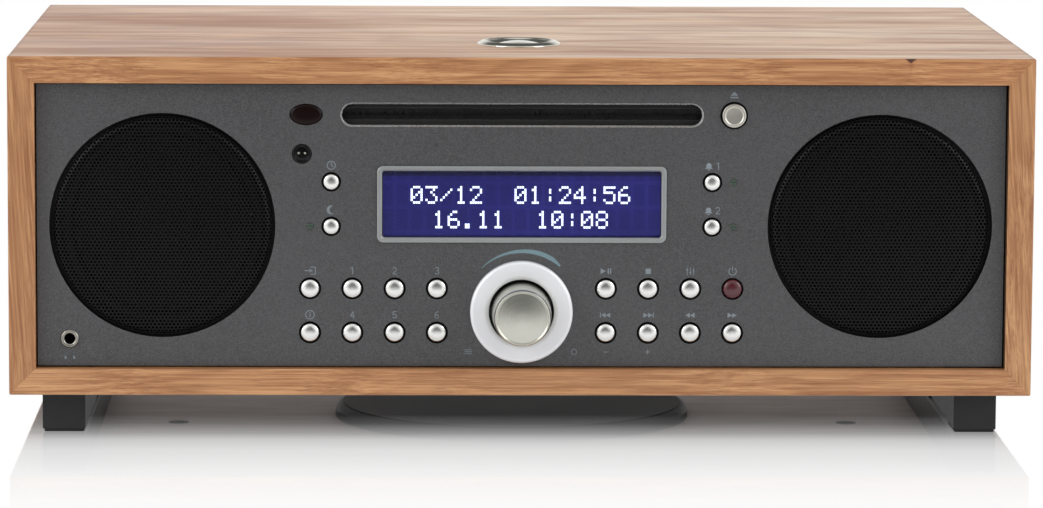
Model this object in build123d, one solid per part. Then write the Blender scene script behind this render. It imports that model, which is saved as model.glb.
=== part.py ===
"""Table-top hi-fi system: a wooden case with two full-range drivers and a slot disc player
behind a metal front panel, and a bass driver that fires down between two foot rails.

The row frame is +Z up, with the front facing -Y. The origin is on the floor, at the centre
of the whole outline. All sizes are in millimetres.
"""
import os

from build123d import *

# Case
CASE_WIDTH = 358.8
CASE_HEIGHT = 119.0
CASE_DEPTH = 228.0
WALL = 9.3
EDGE_ROUND = 0.6
FOOT_HEIGHT = 14.35
OVERALL_DEPTH = 242.0

FRONT = -OVERALL_DEPTH / 2 + (OVERALL_DEPTH - CASE_DEPTH)  # front edge of the case
BACK = FRONT + CASE_DEPTH
BOTTOM = FOOT_HEIGHT
TOP = BOTTOM + CASE_HEIGHT
IN_X = CASE_WIDTH / 2 - WALL  # inner faces of the four walls
IN_LOW = BOTTOM + WALL
IN_HIGH = TOP - WALL
MID_Z = (BOTTOM + TOP) / 2

# Front panel
PANEL_RECESS = 4.0
PANEL_THICK = 3.0
PANEL_GAP = 0.6
PANEL = FRONT + PANEL_RECESS  # front face of the panel
PANEL_BACK = PANEL + PANEL_THICK

# Controls on the front panel
PITCH = 14.83  # column spacing of the small buttons
ROW_UPPER = 51.7
ROW_LOWER = 36.1
CLOCK_ROW = 89.3
SLEEP_ROW = 73.6
SIDE_X = 4.5 * PITCH  # clock, sleep and alarm buttons
EDGE_X = 5 * PITCH  # eject button and indicator lamps
SLOT_Z = 112.9
KNOB_Z = 43.6
JACK_X, JACK_Z = -158.3, 33.8
SENSOR_X, SENSOR_Z = -77.0, 99.1
SENSOR_RADIUS = 3.5
IR_X, IR_HALF_WIDTH, IR_HALF_HEIGHT = -75.5, 5.8, 3.75
LAMP_RADIUS = 1.3
LAMPS = [(-EDGE_X, SLEEP_ROW), (EDGE_X, SLEEP_ROW), (EDGE_X, CLOCK_ROW)]

BUTTON_GAP = 0.6
BUTTON_PROUD = 0.4
DOME = 1.0
FLANGE = 1.0
BOARD = PANEL_BACK + 12.0  # front face of the control board
BOARD_THICK = 1.6
SWITCH_SIZE, SWITCH_DEPTH = 6.0, 3.5
PLUNGER_RADIUS = 1.6
PLUNGER_REACH = 1.0
SMALL, MEDIUM, LARGE = 2.85, 3.3, 4.25  # cap radii
LEFT_COLUMNS = [-EDGE_X, -4 * PITCH, -3 * PITCH, -2 * PITCH]
RIGHT_COLUMNS = [2 * PITCH, 3 * PITCH, 4 * PITCH, EDGE_X]


def row(names, columns, height):
    """Places one row of the medium buttons."""
    return {name: (x, height, MEDIUM) for name, x in zip(names, columns)}


BUTTONS = {
    "eject": (EDGE_X, SLOT_Z, LARGE),
    "clock": (-SIDE_X, CLOCK_ROW, SMALL),
    "sleep": (-SIDE_X, SLEEP_ROW, SMALL),
    "alarm_1": (SIDE_X, CLOCK_ROW, SMALL),
    "alarm_2": (SIDE_X, SLEEP_ROW, SMALL),
    **row(["source", "preset_1", "preset_2", "preset_3"], LEFT_COLUMNS, ROW_UPPER),
    **row(["info", "preset_4", "preset_5", "preset_6"], LEFT_COLUMNS, ROW_LOWER),
    **row(["play", "stop", "audio", "power"], RIGHT_COLUMNS, ROW_UPPER),
    **row(["previous", "next", "rewind", "forward"], RIGHT_COLUMNS, ROW_LOWER),
}

# Display
DISPLAY_Z = 81.45
BEZEL_WIDTH, BEZEL_HEIGHT = 101.4, 27.0
BEZEL_BORDER = 1.75
BEZEL_PROUD = 0.8
SLEEVE = 0.9  # wall of the bezel's sleeve

# Volume knob and its encoder
RING_RADIUS, RING_HOLE, RING_THICK = 18.0, 11.4, 3.0
KNOB_REAR_RADIUS, KNOB_FACE_RADIUS = 10.7, 10.0
KNOB_PROUD = 15.0  # beyond the ring
KNOB_FACE = PANEL - RING_THICK - KNOB_PROUD
KNOB_REAR = PANEL + 1.4
SHAFT_RADIUS = 3.0
SHAFT_FLAT = 1.5  # distance of the flat from the shaft's axis
RUNNING = 0.03
ENCODER_SIZE, ENCODER_DEPTH = 13.0, 7.0
ROTOR_RADIUS, ROTOR_THICK = 5.0, 2.0

# Full-range drivers
DRIVER_X = 125.75
GRILLE_HOLE = 39.5
GRILLE_RADIUS = 38.4
GRILLE_SHEET = 0.8
GRILLE_PROUD = 0.9

# Bass driver, which faces down
BASS_Y = 32.0
BASS_HOLE = 57.0
BASS_FLANGE = 64.0
GUARD_RADIUS, GUARD_HEIGHT = 66.5, 5.0
CLOTH = 0.4

# Disc player
SLOT_WIDTH, SLOT_HEIGHT = 126.0, 7.3
SLOT_CHAMFER = 0.5
DISC_GAP = 4.8  # clear height along the disc's path
PLAYER_FRONT = -84.0
PLAYER_BACK = 60.0
PLAYER_X = 72.0
PLAYER_LOW, PLAYER_HIGH = 98.0, 117.2
SHEET = 1.2
SPINDLE_Y = -18.0
ROLLER_Y, ROLLER_RADIUS = -79.0, 3.0
LENS_RADIUS_AT_REST = 23.0

# Rear
BACK_RECESS = 10.0
BACK_THICK = 4.0
REAR = BACK - BACK_RECESS  # outer face of the back panel
REAR_IN = REAR - BACK_THICK
BATTEN = 7.5

# Foot rails
RAIL_WIDTH = 15.0
RAIL_INSET_X, RAIL_INSET_Y = 11.1, 9.0
PAD_THICK = 1.0
RAIL_X = CASE_WIDTH / 2 - RAIL_INSET_X - RAIL_WIDTH / 2
RAIL_FRONT, RAIL_BACK = FRONT + RAIL_INSET_Y, BACK - RAIL_INSET_Y
PLUG_X, PLUG_Y, PLUG_RADIUS = 125.0, 12.0, 4.0

# Top button
SNOOZE_Y = -50.0
SNOOZE_RADIUS, SNOOZE_BUTTON = 15.0, 9.3
SNOOZE_PROUD = 1.4

# Screws
SCREW_RADIUS = 1.5
SCREW_HEAD = 3.0
FIT = 0.1
BACK_SCREWS = [(x, z) for x in (-150, -50, 50, 150) for z in (27.6, 120.1)]
PANEL_SCREWS = [(x, z) for x in (-135, 135) for z in (27.6, 120.1)]
RAIL_SCREWS = [(side * RAIL_X, y) for side in (-1, 1) for y in (-70, 80)]
BOARD_POSTS = [(x, z) for x, z in ((60, 99.5), (-60, 99.5), (51.9, 43.7), (-51.9, 43.7))]

# Rear sockets: phono pairs on the left of the row frame, aerial above them, mains at the right
PHONO = [(x, z) for x in (-145, -125) for z in (45, 62)]
PHONO_RADIUS, PHONO_BORE = 4.15, 1.6
AERIAL_X, AERIAL_Z, AERIAL_RADIUS = -100.0, 53.5, 4.75
NECK_STEP = 0.35  # how much thinner a socket's neck is than its barrel
MAINS_X, MAINS_Z = 135.0, 45.0


def block(x, y, z):
    """A box from its (low, high) limits along each axis."""
    size = [high - low for low, high in (x, y, z)]
    centre = [(high + low) / 2 for low, high in (x, y, z)]
    return Pos(*centre) * Box(*size)


def turned(points, rounds=None):
    """A solid of revolution about Z from (radius, height) points, with some corners rounded."""
    face = make_face(Polyline(*points, close=True))
    for corner, radius in (rounds or {}).items():
        vertex = face.vertices().sort_by_distance((*points[corner], 0))[0]
        face = fillet(vertex, radius)
    return revolve(Plane.XZ * face, axis=Axis.Z)


def facing(shape, x, z):
    """Lays a solid of revolution along Y, so that its heights become Y values."""
    return Pos(x, 0, z) * Rot(-90, 0, 0) * shape


def rod(radius, low, high):
    """A cylinder along Z."""
    return Pos(0, 0, (low + high) / 2) * Cylinder(radius, high - low)


def rod_y(x, z, radius, low, high):
    """A cylinder along Y."""
    return facing(rod(radius, low, high), x, z)


def rod_z(x, y, radius, low, high):
    """A cylinder along Z at a place in plan."""
    return Pos(x, y, 0) * rod(radius, low, high)


def rod_x(y, z, radius, low, high):
    """A cylinder along X."""
    return Pos(0, y, z) * Rot(0, 90, 0) * rod(radius, low, high)


def slab_y(sketch, low, high, x=0, z=0):
    """Extrudes a sketch drawn in X and Z between two Y values."""
    return Pos(x, high, z) * extrude(Plane.XZ * sketch, high - low)


def cut(shape, tools):
    """The shape with each tool taken away."""
    for tool in tools:
        shape = shape - tool
    return shape


def screw(length, head=SCREW_HEAD, radius=SCREW_RADIUS):
    """A pan-head screw along Z: its head stands above 0 and its shank runs below."""
    head_height = 0.7 * head
    body = turned(
        [(0, -length), (radius * 0.4, -length), (radius, -length + 1.5 * radius), (radius, 0),
         (head, 0), (head, head_height), (0, head_height)],
        {5: 0.45 * head},
    )
    blade = Box(1.5 * head, 0.3 * head, head_height)
    recess = Pos(0, 0, head_height) * (blade + Rot(0, 0, 90) * blade)
    return body - recess


def screws_facing_back(places, y, length, **sizes):
    """Screws whose heads face +Y at that Y value."""
    return [Pos(x, y, z) * Rot(-90, 0, 0) * screw(length, **sizes) for x, z in places]


def screws_facing_down(places, z, length, **sizes):
    """Screws whose heads face -Z at that height."""
    return [Pos(x, y, z) * Rot(180, 0, 0) * screw(length, **sizes) for x, y in places]


# ---------------------------------------------------------------- case

def case_shell():
    """The four walls as one tube, with rounded outer edges."""
    outer = block((-CASE_WIDTH / 2, CASE_WIDTH / 2), (FRONT, BACK), (BOTTOM, TOP))
    outer = fillet(outer.edges(), EDGE_ROUND)
    return outer - block((-IN_X, IN_X), (FRONT - 1, BACK + 1), (IN_LOW, IN_HIGH))


def mitre(outer_a, outer_b, inner_b, inner_a):
    """The wedge of the case that one mitred wall takes up."""
    wedge = make_face(Polyline(outer_a, outer_b, inner_b, inner_a, close=True))
    return slab_y(wedge, FRONT - 1, BACK + 1)


def case_walls():
    """Top, bottom, left and right walls, joined at 45 degrees."""
    shell = case_shell()
    x, low, high = CASE_WIDTH / 2, BOTTOM, TOP
    top = shell & mitre((-x, high), (x, high), (IN_X, IN_HIGH), (-IN_X, IN_HIGH))
    bottom = shell & mitre((-x, low), (x, low), (IN_X, IN_LOW), (-IN_X, IN_LOW))
    left = shell & mitre((-x, low), (-x, high), (-IN_X, IN_HIGH), (-IN_X, IN_LOW))
    right = shell & mitre((x, low), (x, high), (IN_X, IN_HIGH), (IN_X, IN_LOW))
    top -= rod_z(0, SNOOZE_Y, SNOOZE_RADIUS - 2.4, IN_HIGH - 1, TOP + 1)
    holes = [rod_z(0, BASS_Y, BASS_HOLE, BOTTOM - 1, IN_LOW + 1)]
    holes += [rod_z(x, y, SCREW_RADIUS + FIT, BOTTOM - 1, BOTTOM + 7) for x, y in RAIL_SCREWS]
    for side in (-1, 1):
        holes.append(rod_z(side * PLUG_X, PLUG_Y, PLUG_RADIUS, BOTTOM - 1, BOTTOM + 4))
        holes.append(rod_z(side * PLUG_X, PLUG_Y, SCREW_RADIUS + FIT, BOTTOM, IN_LOW + 1))
    return top, cut(bottom, holes), left, right


def battens():
    """Glued wooden strips that the front and back panels screw to."""
    low, high = (IN_LOW, IN_LOW + BATTEN), (IN_HIGH - BATTEN, IN_HIGH)
    front, rear = (PANEL_BACK, PANEL_BACK + 8), (REAR_IN - 8, REAR_IN)
    strips = [
        block((-148, 148), front, low),
        block((-165, -88), front, high),
        block((88, 165), front, high),
        block((-160, 160), rear, low),
        block((-160, 160), rear, high),
    ]
    holes = [rod_y(x, z, SCREW_RADIUS + FIT, PANEL_BACK - 1, 0) for x, z in PANEL_SCREWS]
    holes += [rod_y(x, z, SCREW_RADIUS + FIT, 0, REAR) for x, z in BACK_SCREWS]
    return [cut(strip, holes) for strip in strips]


def back_panel():
    """Inset rear panel with vents and openings for the sockets."""
    edge_x, low, high = IN_X - PANEL_GAP, IN_LOW + PANEL_GAP, IN_HIGH - PANEL_GAP
    panel = block((-edge_x, edge_x), (REAR_IN, REAR), (low, high))
    holes = [rod_y(x, z, SCREW_RADIUS + FIT, REAR_IN - 1, REAR + 1) for x, z in BACK_SCREWS]
    holes += [rod_y(x, z, PHONO_RADIUS + FIT, REAR_IN - 1, REAR + 1) for x, z in PHONO]
    holes.append(rod_y(AERIAL_X, AERIAL_Z, AERIAL_RADIUS + FIT, REAR_IN - 1, REAR + 1))
    holes.append(slab_y(mains_outline(FIT), REAR_IN - 1, REAR + 1, MAINS_X, MAINS_Z))
    slot = Rot(0, 0, 90) * SlotOverall(44, 3)
    for n in range(9):
        holes.append(slab_y(slot, REAR_IN - 1, REAR + 1, -32 + 8 * n, 80))
    return cut(panel, holes)


def foot_rails():
    """Two black rails that lift the case clear of the bass driver's outlet."""
    rails = []
    for side in (-1, 1):
        x = side * RAIL_X
        rail = block((x - RAIL_WIDTH / 2, x + RAIL_WIDTH / 2), (RAIL_FRONT, RAIL_BACK), (PAD_THICK, BOTTOM))
        rail = fillet(rail.edges().filter_by(Axis.Y), 0.4)
        for y in (-70, 80):
            rail -= rod_z(x, y, SCREW_RADIUS + FIT, 0, BOTTOM + 1)
            rail -= rod_z(x, y, SCREW_HEAD + 0.3, 0, 6)
        rails.append(rail)
    return rails


def foot_pads():
    """Rubber strips under the rails."""
    pads = []
    for side in (-1, 1):
        for y in (-86.5, -1, 97):
            pad = Box(RAIL_WIDTH - 1, 22, PAD_THICK)
            pads.append(Pos(side * RAIL_X, y, PAD_THICK / 2) * fillet(pad.edges().filter_by(Axis.Z), 1))
    return pads


def case_screws():
    """Every screw that holds the case, panels, rails and control board."""
    small = {"head": 2.2, "radius": 1.2}
    made = screws_facing_back(BACK_SCREWS, REAR, 9)
    made += screws_facing_back(PANEL_SCREWS, PANEL_BACK + 8, 9.5)
    made += screws_facing_back(BOARD_POSTS, BOARD + BOARD_THICK, 8, **small)
    made += screws_facing_down(RAIL_SCREWS, 6, 14)
    made += screws_facing_down([(-PLUG_X, PLUG_Y), (PLUG_X, PLUG_Y)], BOTTOM + 4, 12)
    return made


# ---------------------------------------------------------------- front panel and display

def stadium(width, height):
    """A slot outline with round ends."""
    return SlotOverall(width, height)


def mains_outline(grow=0.0):
    """The figure-of-eight outline of the mains inlet."""
    return SlotOverall(22 + 2 * grow, 14 + 2 * grow)


def front_panel():
    """Metal front panel with every opening, and four posts for the control board."""
    edge_x, low, high = IN_X - PANEL_GAP, IN_LOW + PANEL_GAP, IN_HIGH - PANEL_GAP
    panel = block((-edge_x, edge_x), (PANEL, PANEL_BACK), (low, high))
    through = (PANEL - 1, PANEL_BACK + 1)
    holes = [rod_y(side * DRIVER_X, MID_Z, GRILLE_HOLE, *through) for side in (-1, 1)]
    holes += [rod_y(x, z, radius + BUTTON_GAP, *through) for x, z, radius in BUTTONS.values()]
    holes += [rod_y(x, z, LAMP_RADIUS + 0.05, *through) for x, z in LAMPS]
    holes.append(rod_y(0, KNOB_Z, RING_HOLE + 0.9, *through))
    holes.append(rod_y(JACK_X, JACK_Z, 3.0, *through))
    holes.append(rod_y(SENSOR_X, SENSOR_Z, SENSOR_RADIUS + 0.05, *through))
    holes.append(slab_y(Ellipse(IR_HALF_WIDTH + 0.05, IR_HALF_HEIGHT + 0.05), *through, IR_X, SLOT_Z))
    holes.append(slab_y(stadium(SLOT_WIDTH, SLOT_HEIGHT), *through, 0, SLOT_Z))
    holes.append(slab_y(sleeve_outline(0.1), *through, 0, DISPLAY_Z))
    panel = cut(panel, holes)
    mouth = [e for e in panel.edges().filter_by_position(Axis.Y, PANEL, PANEL) if on_slot(e)]
    panel = chamfer(mouth, SLOT_CHAMFER)
    for x, z in BOARD_POSTS:
        panel += rod_y(x, z, 2.6, PANEL_BACK - 0.5, BOARD)
        panel -= rod_y(x, z, 1.2 + FIT, PANEL_BACK, BOARD + 1)
    return cut(panel, [rod_y(x, z, SCREW_RADIUS + FIT, PANEL_BACK - 2, 0) for x, z in PANEL_SCREWS])


def on_slot(edge):
    """True for an edge of the disc slot's mouth."""
    centre = edge.center(CenterOf.BOUNDING_BOX)
    near_height = abs(centre.Z - SLOT_Z) <= SLOT_HEIGHT / 2 + 0.01
    return near_height and abs(centre.X) <= SLOT_WIDTH / 2 + 0.01


def slot_felt():
    """Two felt strips behind the slot that keep dust out."""
    strips = []
    across = (-SLOT_WIDTH / 2 - 1, SLOT_WIDTH / 2 + 1)
    depth = (PANEL_BACK + 0.1, PANEL_BACK + 2.6)
    for side in (-1, 1):
        near, far = SLOT_Z + side * DISC_GAP / 2, SLOT_Z + side * (SLOT_HEIGHT / 2 + 1.6)
        strips.append(block(across, depth, sorted((near, far))))
    return strips


def panel_lenses():
    """The remote receiver's oval window, the light sensor's lens and three indicator lamps."""
    oval = slab_y(Ellipse(IR_HALF_WIDTH, IR_HALF_HEIGHT), PANEL - 0.4, PANEL_BACK, IR_X, SLOT_Z)
    rim = oval.edges().filter_by_position(Axis.Y, PANEL - 0.4, PANEL - 0.4)
    oval = fillet(rim, 0.3)
    dish = SENSOR_RADIUS - 1.2
    sensor = turned(
        [(0, PANEL + 1.6), (dish, PANEL + 0.4), (SENSOR_RADIUS, PANEL), (SENSOR_RADIUS, PANEL_BACK),
         (0, PANEL_BACK)],
    )
    lenses = [oval, facing(sensor, SENSOR_X, SENSOR_Z)]
    for x, z in LAMPS:
        lamp = turned(
            [(0, PANEL - 0.3), (LAMP_RADIUS, PANEL - 0.3), (LAMP_RADIUS, BOARD - 0.1), (0, BOARD - 0.1)],
            {1: 0.8},
        )
        lenses.append(facing(lamp, x, z))
    return lenses


def sleeve_outline(grow=0.0):
    """The outline of the display bezel's sleeve, which passes through the panel."""
    width = BEZEL_WIDTH - 2 * BEZEL_BORDER + 2 * SLEEVE + 2 * grow
    height = BEZEL_HEIGHT - 2 * BEZEL_BORDER + 2 * SLEEVE + 2 * grow
    return RectangleRounded(width, height, 1.8 + grow)


def window_outline(grow=0.0):
    """The outline of the display's clear window."""
    width = BEZEL_WIDTH - 2 * BEZEL_BORDER + 2 * grow
    height = BEZEL_HEIGHT - 2 * BEZEL_BORDER + 2 * grow
    return RectangleRounded(width, height, 1.0)


def display_bezel():
    """Frame round the display, with a sleeve through the panel."""
    flange = RectangleRounded(BEZEL_WIDTH, BEZEL_HEIGHT, 2.2)
    frame = slab_y(flange, PANEL - BEZEL_PROUD, PANEL, 0, DISPLAY_Z)
    rim = frame.edges().filter_by_position(Axis.Y, PANEL - BEZEL_PROUD, PANEL - BEZEL_PROUD)
    frame = fillet(rim, 0.4)
    frame += slab_y(sleeve_outline(), PANEL, PANEL_BACK, 0, DISPLAY_Z)
    frame -= slab_y(window_outline(), PANEL - 2, PANEL_BACK + 1, 0, DISPLAY_Z)
    mouth = frame.edges().filter_by_position(Axis.Y, PANEL - BEZEL_PROUD, PANEL - BEZEL_PROUD)
    return chamfer([e for e in mouth if on_window(e)], 0.5)


def on_window(edge):
    """True for an edge of the bezel's window."""
    centre = edge.center()
    near_height = abs(centre.Z - DISPLAY_Z) < BEZEL_HEIGHT / 2 - 1.2
    return near_height and abs(centre.X) < BEZEL_WIDTH / 2 - 1.2


def display_window():
    """Clear window in the bezel."""
    return slab_y(window_outline(-0.1), PANEL + 0.6, PANEL + 1.8, 0, DISPLAY_Z)


def display_module():
    """Display glass on its own small circuit board."""
    glass = block((-50, 50), (PANEL + 2.0, PANEL_BACK + 2.5), (DISPLAY_Z - 12.4, DISPLAY_Z + 12.4))
    glass &= slab_y(window_outline(-0.3), PANEL, PANEL_BACK + 3, 0, DISPLAY_Z)
    board = block((-54, 54), (PANEL_BACK + 2.5, PANEL_BACK + 4.1), (DISPLAY_Z - 16, DISPLAY_Z + 16))
    plug = block((-14, 14), (PANEL_BACK + 4.1, BOARD), (DISPLAY_Z - 14, DISPLAY_Z - 9))
    return [glass, board, plug]


def headphone_jack():
    """Headphone socket with a round metal collar."""
    collar = turned(
        [(0, PANEL - 0.7), (3.3, PANEL - 0.7), (3.3, PANEL), (2.95, PANEL), (2.95, PANEL_BACK),
         (0, PANEL_BACK)],
        {1: 0.5},
    )
    body = block((JACK_X - 5.5, JACK_X + 5.5), (PANEL_BACK, PANEL_BACK + 13), (JACK_Z - 5, JACK_Z + 5))
    socket = facing(collar, JACK_X, JACK_Z) + body
    return socket - rod_y(JACK_X, JACK_Z, 1.8, PANEL - 2, PANEL_BACK + 11)


# ---------------------------------------------------------------- buttons and knob

def push_button(x, z, radius):
    """A domed cap on a stem, with the plunger of the switch that it presses."""
    face, skirt = PANEL - BUTTON_PROUD, PANEL_BACK + 0.2
    stem_end = BOARD - SWITCH_DEPTH - PLUNGER_REACH - 0.05
    body = turned(
        [(0, face), (radius, face), (radius, skirt), (radius + FLANGE, skirt), (radius + FLANGE, skirt + 1),
         (PLUNGER_RADIUS, skirt + 1), (PLUNGER_RADIUS, stem_end), (0, stem_end)],
    )
    dome_radius = (radius**2 + DOME**2) / (2 * DOME)
    ball = Pos(0, 0, face - DOME + dome_radius) * Sphere(dome_radius)
    dome = ball & rod(radius, face - DOME, face + 0.2)
    plunger = rod(PLUNGER_RADIUS, stem_end + 0.05, BOARD - SWITCH_DEPTH + 1.6)
    return [facing(body + dome, x, z), facing(plunger, x, z)]


def eject_button(x, z, radius):
    """The disc-eject cap: a flat face with a rounded rim and a shallow dish."""
    face, skirt = PANEL - 1.6, PANEL_BACK + 0.2
    stem_end = BOARD - SWITCH_DEPTH - PLUNGER_REACH - 0.05
    body = turned(
        [(0, face + 0.35), (radius - 1.0, face), (radius, face), (radius, skirt),
         (radius + FLANGE, skirt), (radius + FLANGE, skirt + 1), (PLUNGER_RADIUS, skirt + 1),
         (PLUNGER_RADIUS, stem_end), (0, stem_end)],
        {2: 0.6},
    )
    plunger = rod(PLUNGER_RADIUS, stem_end + 0.05, BOARD - SWITCH_DEPTH + 1.6)
    return [facing(body, x, z), facing(plunger, x, z)]


def control_board():
    """Circuit board behind the panel, U-shaped to clear the disc's path, with its switches."""
    board = block((-81, 81), (BOARD, BOARD + BOARD_THICK), (27, 103))
    for side in (-1, 1):
        low, high = sorted((side * 66.5, side * 81))
        board += block((low, high), (BOARD, BOARD + BOARD_THICK), (102, 120))
    board = cut(board, [rod_y(x, z, 1.2 + FIT, BOARD - 1, BOARD + 3) for x, z in BOARD_POSTS])
    solids = [board]
    half = SWITCH_SIZE / 2
    for x, z, _ in BUTTONS.values():
        case = block((x - half, x + half), (BOARD - SWITCH_DEPTH, BOARD), (z - half, z + half))
        solids.append(case - rod_y(x, z, PLUNGER_RADIUS + 0.1, BOARD - SWITCH_DEPTH - 1, BOARD - 0.6))
    chip = block((-30, -14), (BOARD + BOARD_THICK, BOARD + BOARD_THICK + 1.8), (36, 52))
    plug = block((20, 60), (BOARD + BOARD_THICK, BOARD + BOARD_THICK + 7), (30, 36))
    return solids + [chip, plug]


def knob_ring():
    """Fixed metal ring round the knob, with a sleeve through the panel."""
    face = PANEL - RING_THICK
    ring = turned(
        [(RING_HOLE, face + 0.7), (RING_RADIUS - 2.6, face + 0.25), (RING_RADIUS - 1.6, face),
         (RING_RADIUS, face + 0.4), (RING_RADIUS, PANEL), (RING_HOLE + 0.8, PANEL),
         (RING_HOLE + 0.8, PANEL_BACK + 0.5), (RING_HOLE, PANEL_BACK + 0.5)],
        {0: 0.5, 2: 0.8, 3: 0.35},
    )
    return facing(ring, 0, KNOB_Z)


def d_shaft(radius, flat, low, high):
    """A shaft along Z with one flat."""
    return rod(radius, low, high) & block((-radius, radius), (-radius, flat), (low, high))


ENCODER_FRONT = BOARD - ENCODER_DEPTH


def volume_knob():
    """Hollow tapered knob with a boss for the encoder's shaft."""
    wall = 1.6
    shell = turned(
        [(0, KNOB_FACE + 0.5), (KNOB_FACE_RADIUS - 1.2, KNOB_FACE), (KNOB_FACE_RADIUS, KNOB_FACE),
         (KNOB_REAR_RADIUS, KNOB_REAR), (KNOB_REAR_RADIUS - wall, KNOB_REAR),
         (KNOB_FACE_RADIUS - wall, KNOB_FACE + 4), (5, KNOB_FACE + 4), (5, KNOB_REAR - 3),
         (0, KNOB_REAR - 3)],
        {2: 0.8, 3: 0.4},
    )
    bore = d_shaft(SHAFT_RADIUS + 0.02, SHAFT_FLAT + 0.02, KNOB_FACE + 5, KNOB_REAR)
    return facing(shell - bore, 0, KNOB_Z)


def encoder_shaft():
    """Shaft that turns with the rotor and slides through it when the knob is pressed."""
    return facing(d_shaft(SHAFT_RADIUS, SHAFT_FLAT, KNOB_FACE + 5.5, BOARD - 1.2), 0, KNOB_Z)


def encoder_rotor():
    """Disc of contacts, keyed to the shaft by its flat."""
    low = ENCODER_FRONT + 2.0
    disc = rod(ROTOR_RADIUS, low, low + ROTOR_THICK)
    key = d_shaft(SHAFT_RADIUS + RUNNING, SHAFT_FLAT + RUNNING, low - 1, low + ROTOR_THICK + 1)
    return facing(disc - key, 0, KNOB_Z)


def encoder_body():
    """Housing and bush of the rotary encoder."""
    half, low = ENCODER_SIZE / 2, ENCODER_FRONT + 2.0
    body = block((-half, half), (-half, half), (ENCODER_FRONT, BOARD))
    body += rod(4.5, ENCODER_FRONT - 4, ENCODER_FRONT)
    body -= rod(SHAFT_RADIUS + RUNNING, ENCODER_FRONT - 5, BOARD - 0.4)
    body -= rod(ROTOR_RADIUS + 0.1, low - 0.1, low + ROTOR_THICK + 0.1)
    return facing(body, 0, KNOB_Z)


def snooze_ring():
    """Fixed ring in the top of the case, with a cup below that holds the switch."""
    dish, rim = SNOOZE_BUTTON + 0.2, TOP + SNOOZE_PROUD
    ring = turned(
        [(dish, rim - 2.4), (SNOOZE_RADIUS - 2.6, rim - 0.7), (SNOOZE_RADIUS - 1.8, rim),
         (SNOOZE_RADIUS, rim), (SNOOZE_RADIUS, TOP), (SNOOZE_RADIUS - 2.6, TOP),
         (SNOOZE_RADIUS - 2.6, TOP - WALL), (0, TOP - WALL), (0, TOP - WALL + 1.5),
         (dish, TOP - WALL + 1.5)],
        {2: 0.4, 3: 0.6},
    )
    switch = block((-3, 3), (-3, 3), (TOP - WALL + 1.5, TOP - WALL + 4.0))
    return [Pos(0, SNOOZE_Y, 0) * ring, Pos(0, SNOOZE_Y, 0) * switch]


def snooze_button():
    """Round dished button in the top of the case."""
    rim = TOP + SNOOZE_PROUD - 0.2
    cap = turned(
        [(0, rim - 1.1), (SNOOZE_BUTTON - 3.0, rim - 0.7), (SNOOZE_BUTTON - 1.2, rim), (SNOOZE_BUTTON, rim),
         (SNOOZE_BUTTON, rim - 4.0), (2, rim - 4.0), (2, TOP - WALL + 4.7), (0, TOP - WALL + 4.7)],
        {2: 0.4, 3: 0.5},
    )
    return Pos(0, SNOOZE_Y, 0) * cap


# ---------------------------------------------------------------- drivers

def grille():
    """Domed metal grille along Z, heights measured from the panel's front face."""
    back, crown, edge = PANEL_THICK + GRILLE_SHEET, -GRILLE_PROUD - 0.8, -GRILLE_PROUD
    inner = GRILLE_RADIUS - GRILLE_SHEET
    return turned(
        [(0, crown), (GRILLE_RADIUS - 6, edge - 0.1), (GRILLE_RADIUS, edge + 1.2),
         (GRILLE_RADIUS, back - GRILLE_SHEET), (GRILLE_RADIUS + 2.6, back - GRILLE_SHEET),
         (GRILLE_RADIUS + 2.6, back), (inner, back), (inner, edge + 2.0),
         (GRILLE_RADIUS - 6.2, edge - 0.1 + GRILLE_SHEET), (0, crown + GRILLE_SHEET)],
        {2: 1.0},
    )


def speaker_grilles():
    """The pair of grilles."""
    return [Pos(0, PANEL, 0) * facing(grille(), side * DRIVER_X, MID_Z) for side in (-1, 1)]


def driver_frame():
    """Basket of a full-range driver, heights measured back from its mounting face."""
    basket = turned(
        [(37.2, 0), (41.5, 0), (41.5, 2.5), (38.6, 2.5), (25.2, 22.5), (25.2, 24), (11.2, 24), (11.2, 22.5),
         (24.2, 22.5), (35.8, 4.0), (35.8, 2.5), (37.2, 2.5)],
    )
    window = Pos(0, 0, 12) * Box(16, 90, 11)
    return cut(basket, [Rot(0, 0, 60 * n + 30) * window for n in range(3)])


def driver_magnet():
    """Ring magnet with its pole, heights as for the basket."""
    return turned([(0, 16), (9.8, 16), (9.8, 33), (11.2, 33), (11.2, 24), (22, 24), (22, 38), (0, 38)])


def driver_surround():
    """Rubber half-roll between the basket and the cone."""
    middle, roll, skin = 33.55, 2.35, 0.5
    ring = Pos(middle, 0) * Circle(roll) - Pos(middle, 0) * Circle(roll - skin)
    half = ring & (Pos(middle, -roll / 2) * Rectangle(2 * roll, roll))
    lip = Pos(middle + roll + 0.55, -skin / 2) * Rectangle(1.2, skin)
    return Pos(0, 0, 2.45) * revolve(Plane.XZ * (half + lip), axis=Axis.Z)


def driver_cone():
    """Paper cone with its voice-coil former, and the dust cap on it."""
    cone = turned(
        [(30.9, 1.9), (30.9, 2.7), (10.5, 13.0), (10.5, 21.5), (10.2, 21.5), (10.2, 12.3), (30.4, 1.9)],
    )
    cap_radius, rise = 12.0, 3.4
    sphere = (cap_radius**2 + rise**2) / (2 * rise)
    shell = Sphere(sphere) - Sphere(sphere - 0.5)
    cap = (Pos(0, 0, 10.9 - rise + sphere) * shell) & rod(cap_radius, 7, 10.6)
    return [cone, cap]


DRIVER_FACE = PANEL_BACK + GRILLE_SHEET  # mounting face of the full-range drivers


def placed_driver(solid, side):
    """Puts a driver's piece behind the left or right grille."""
    return Pos(0, DRIVER_FACE, 0) * facing(solid, side * DRIVER_X, MID_Z)


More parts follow.
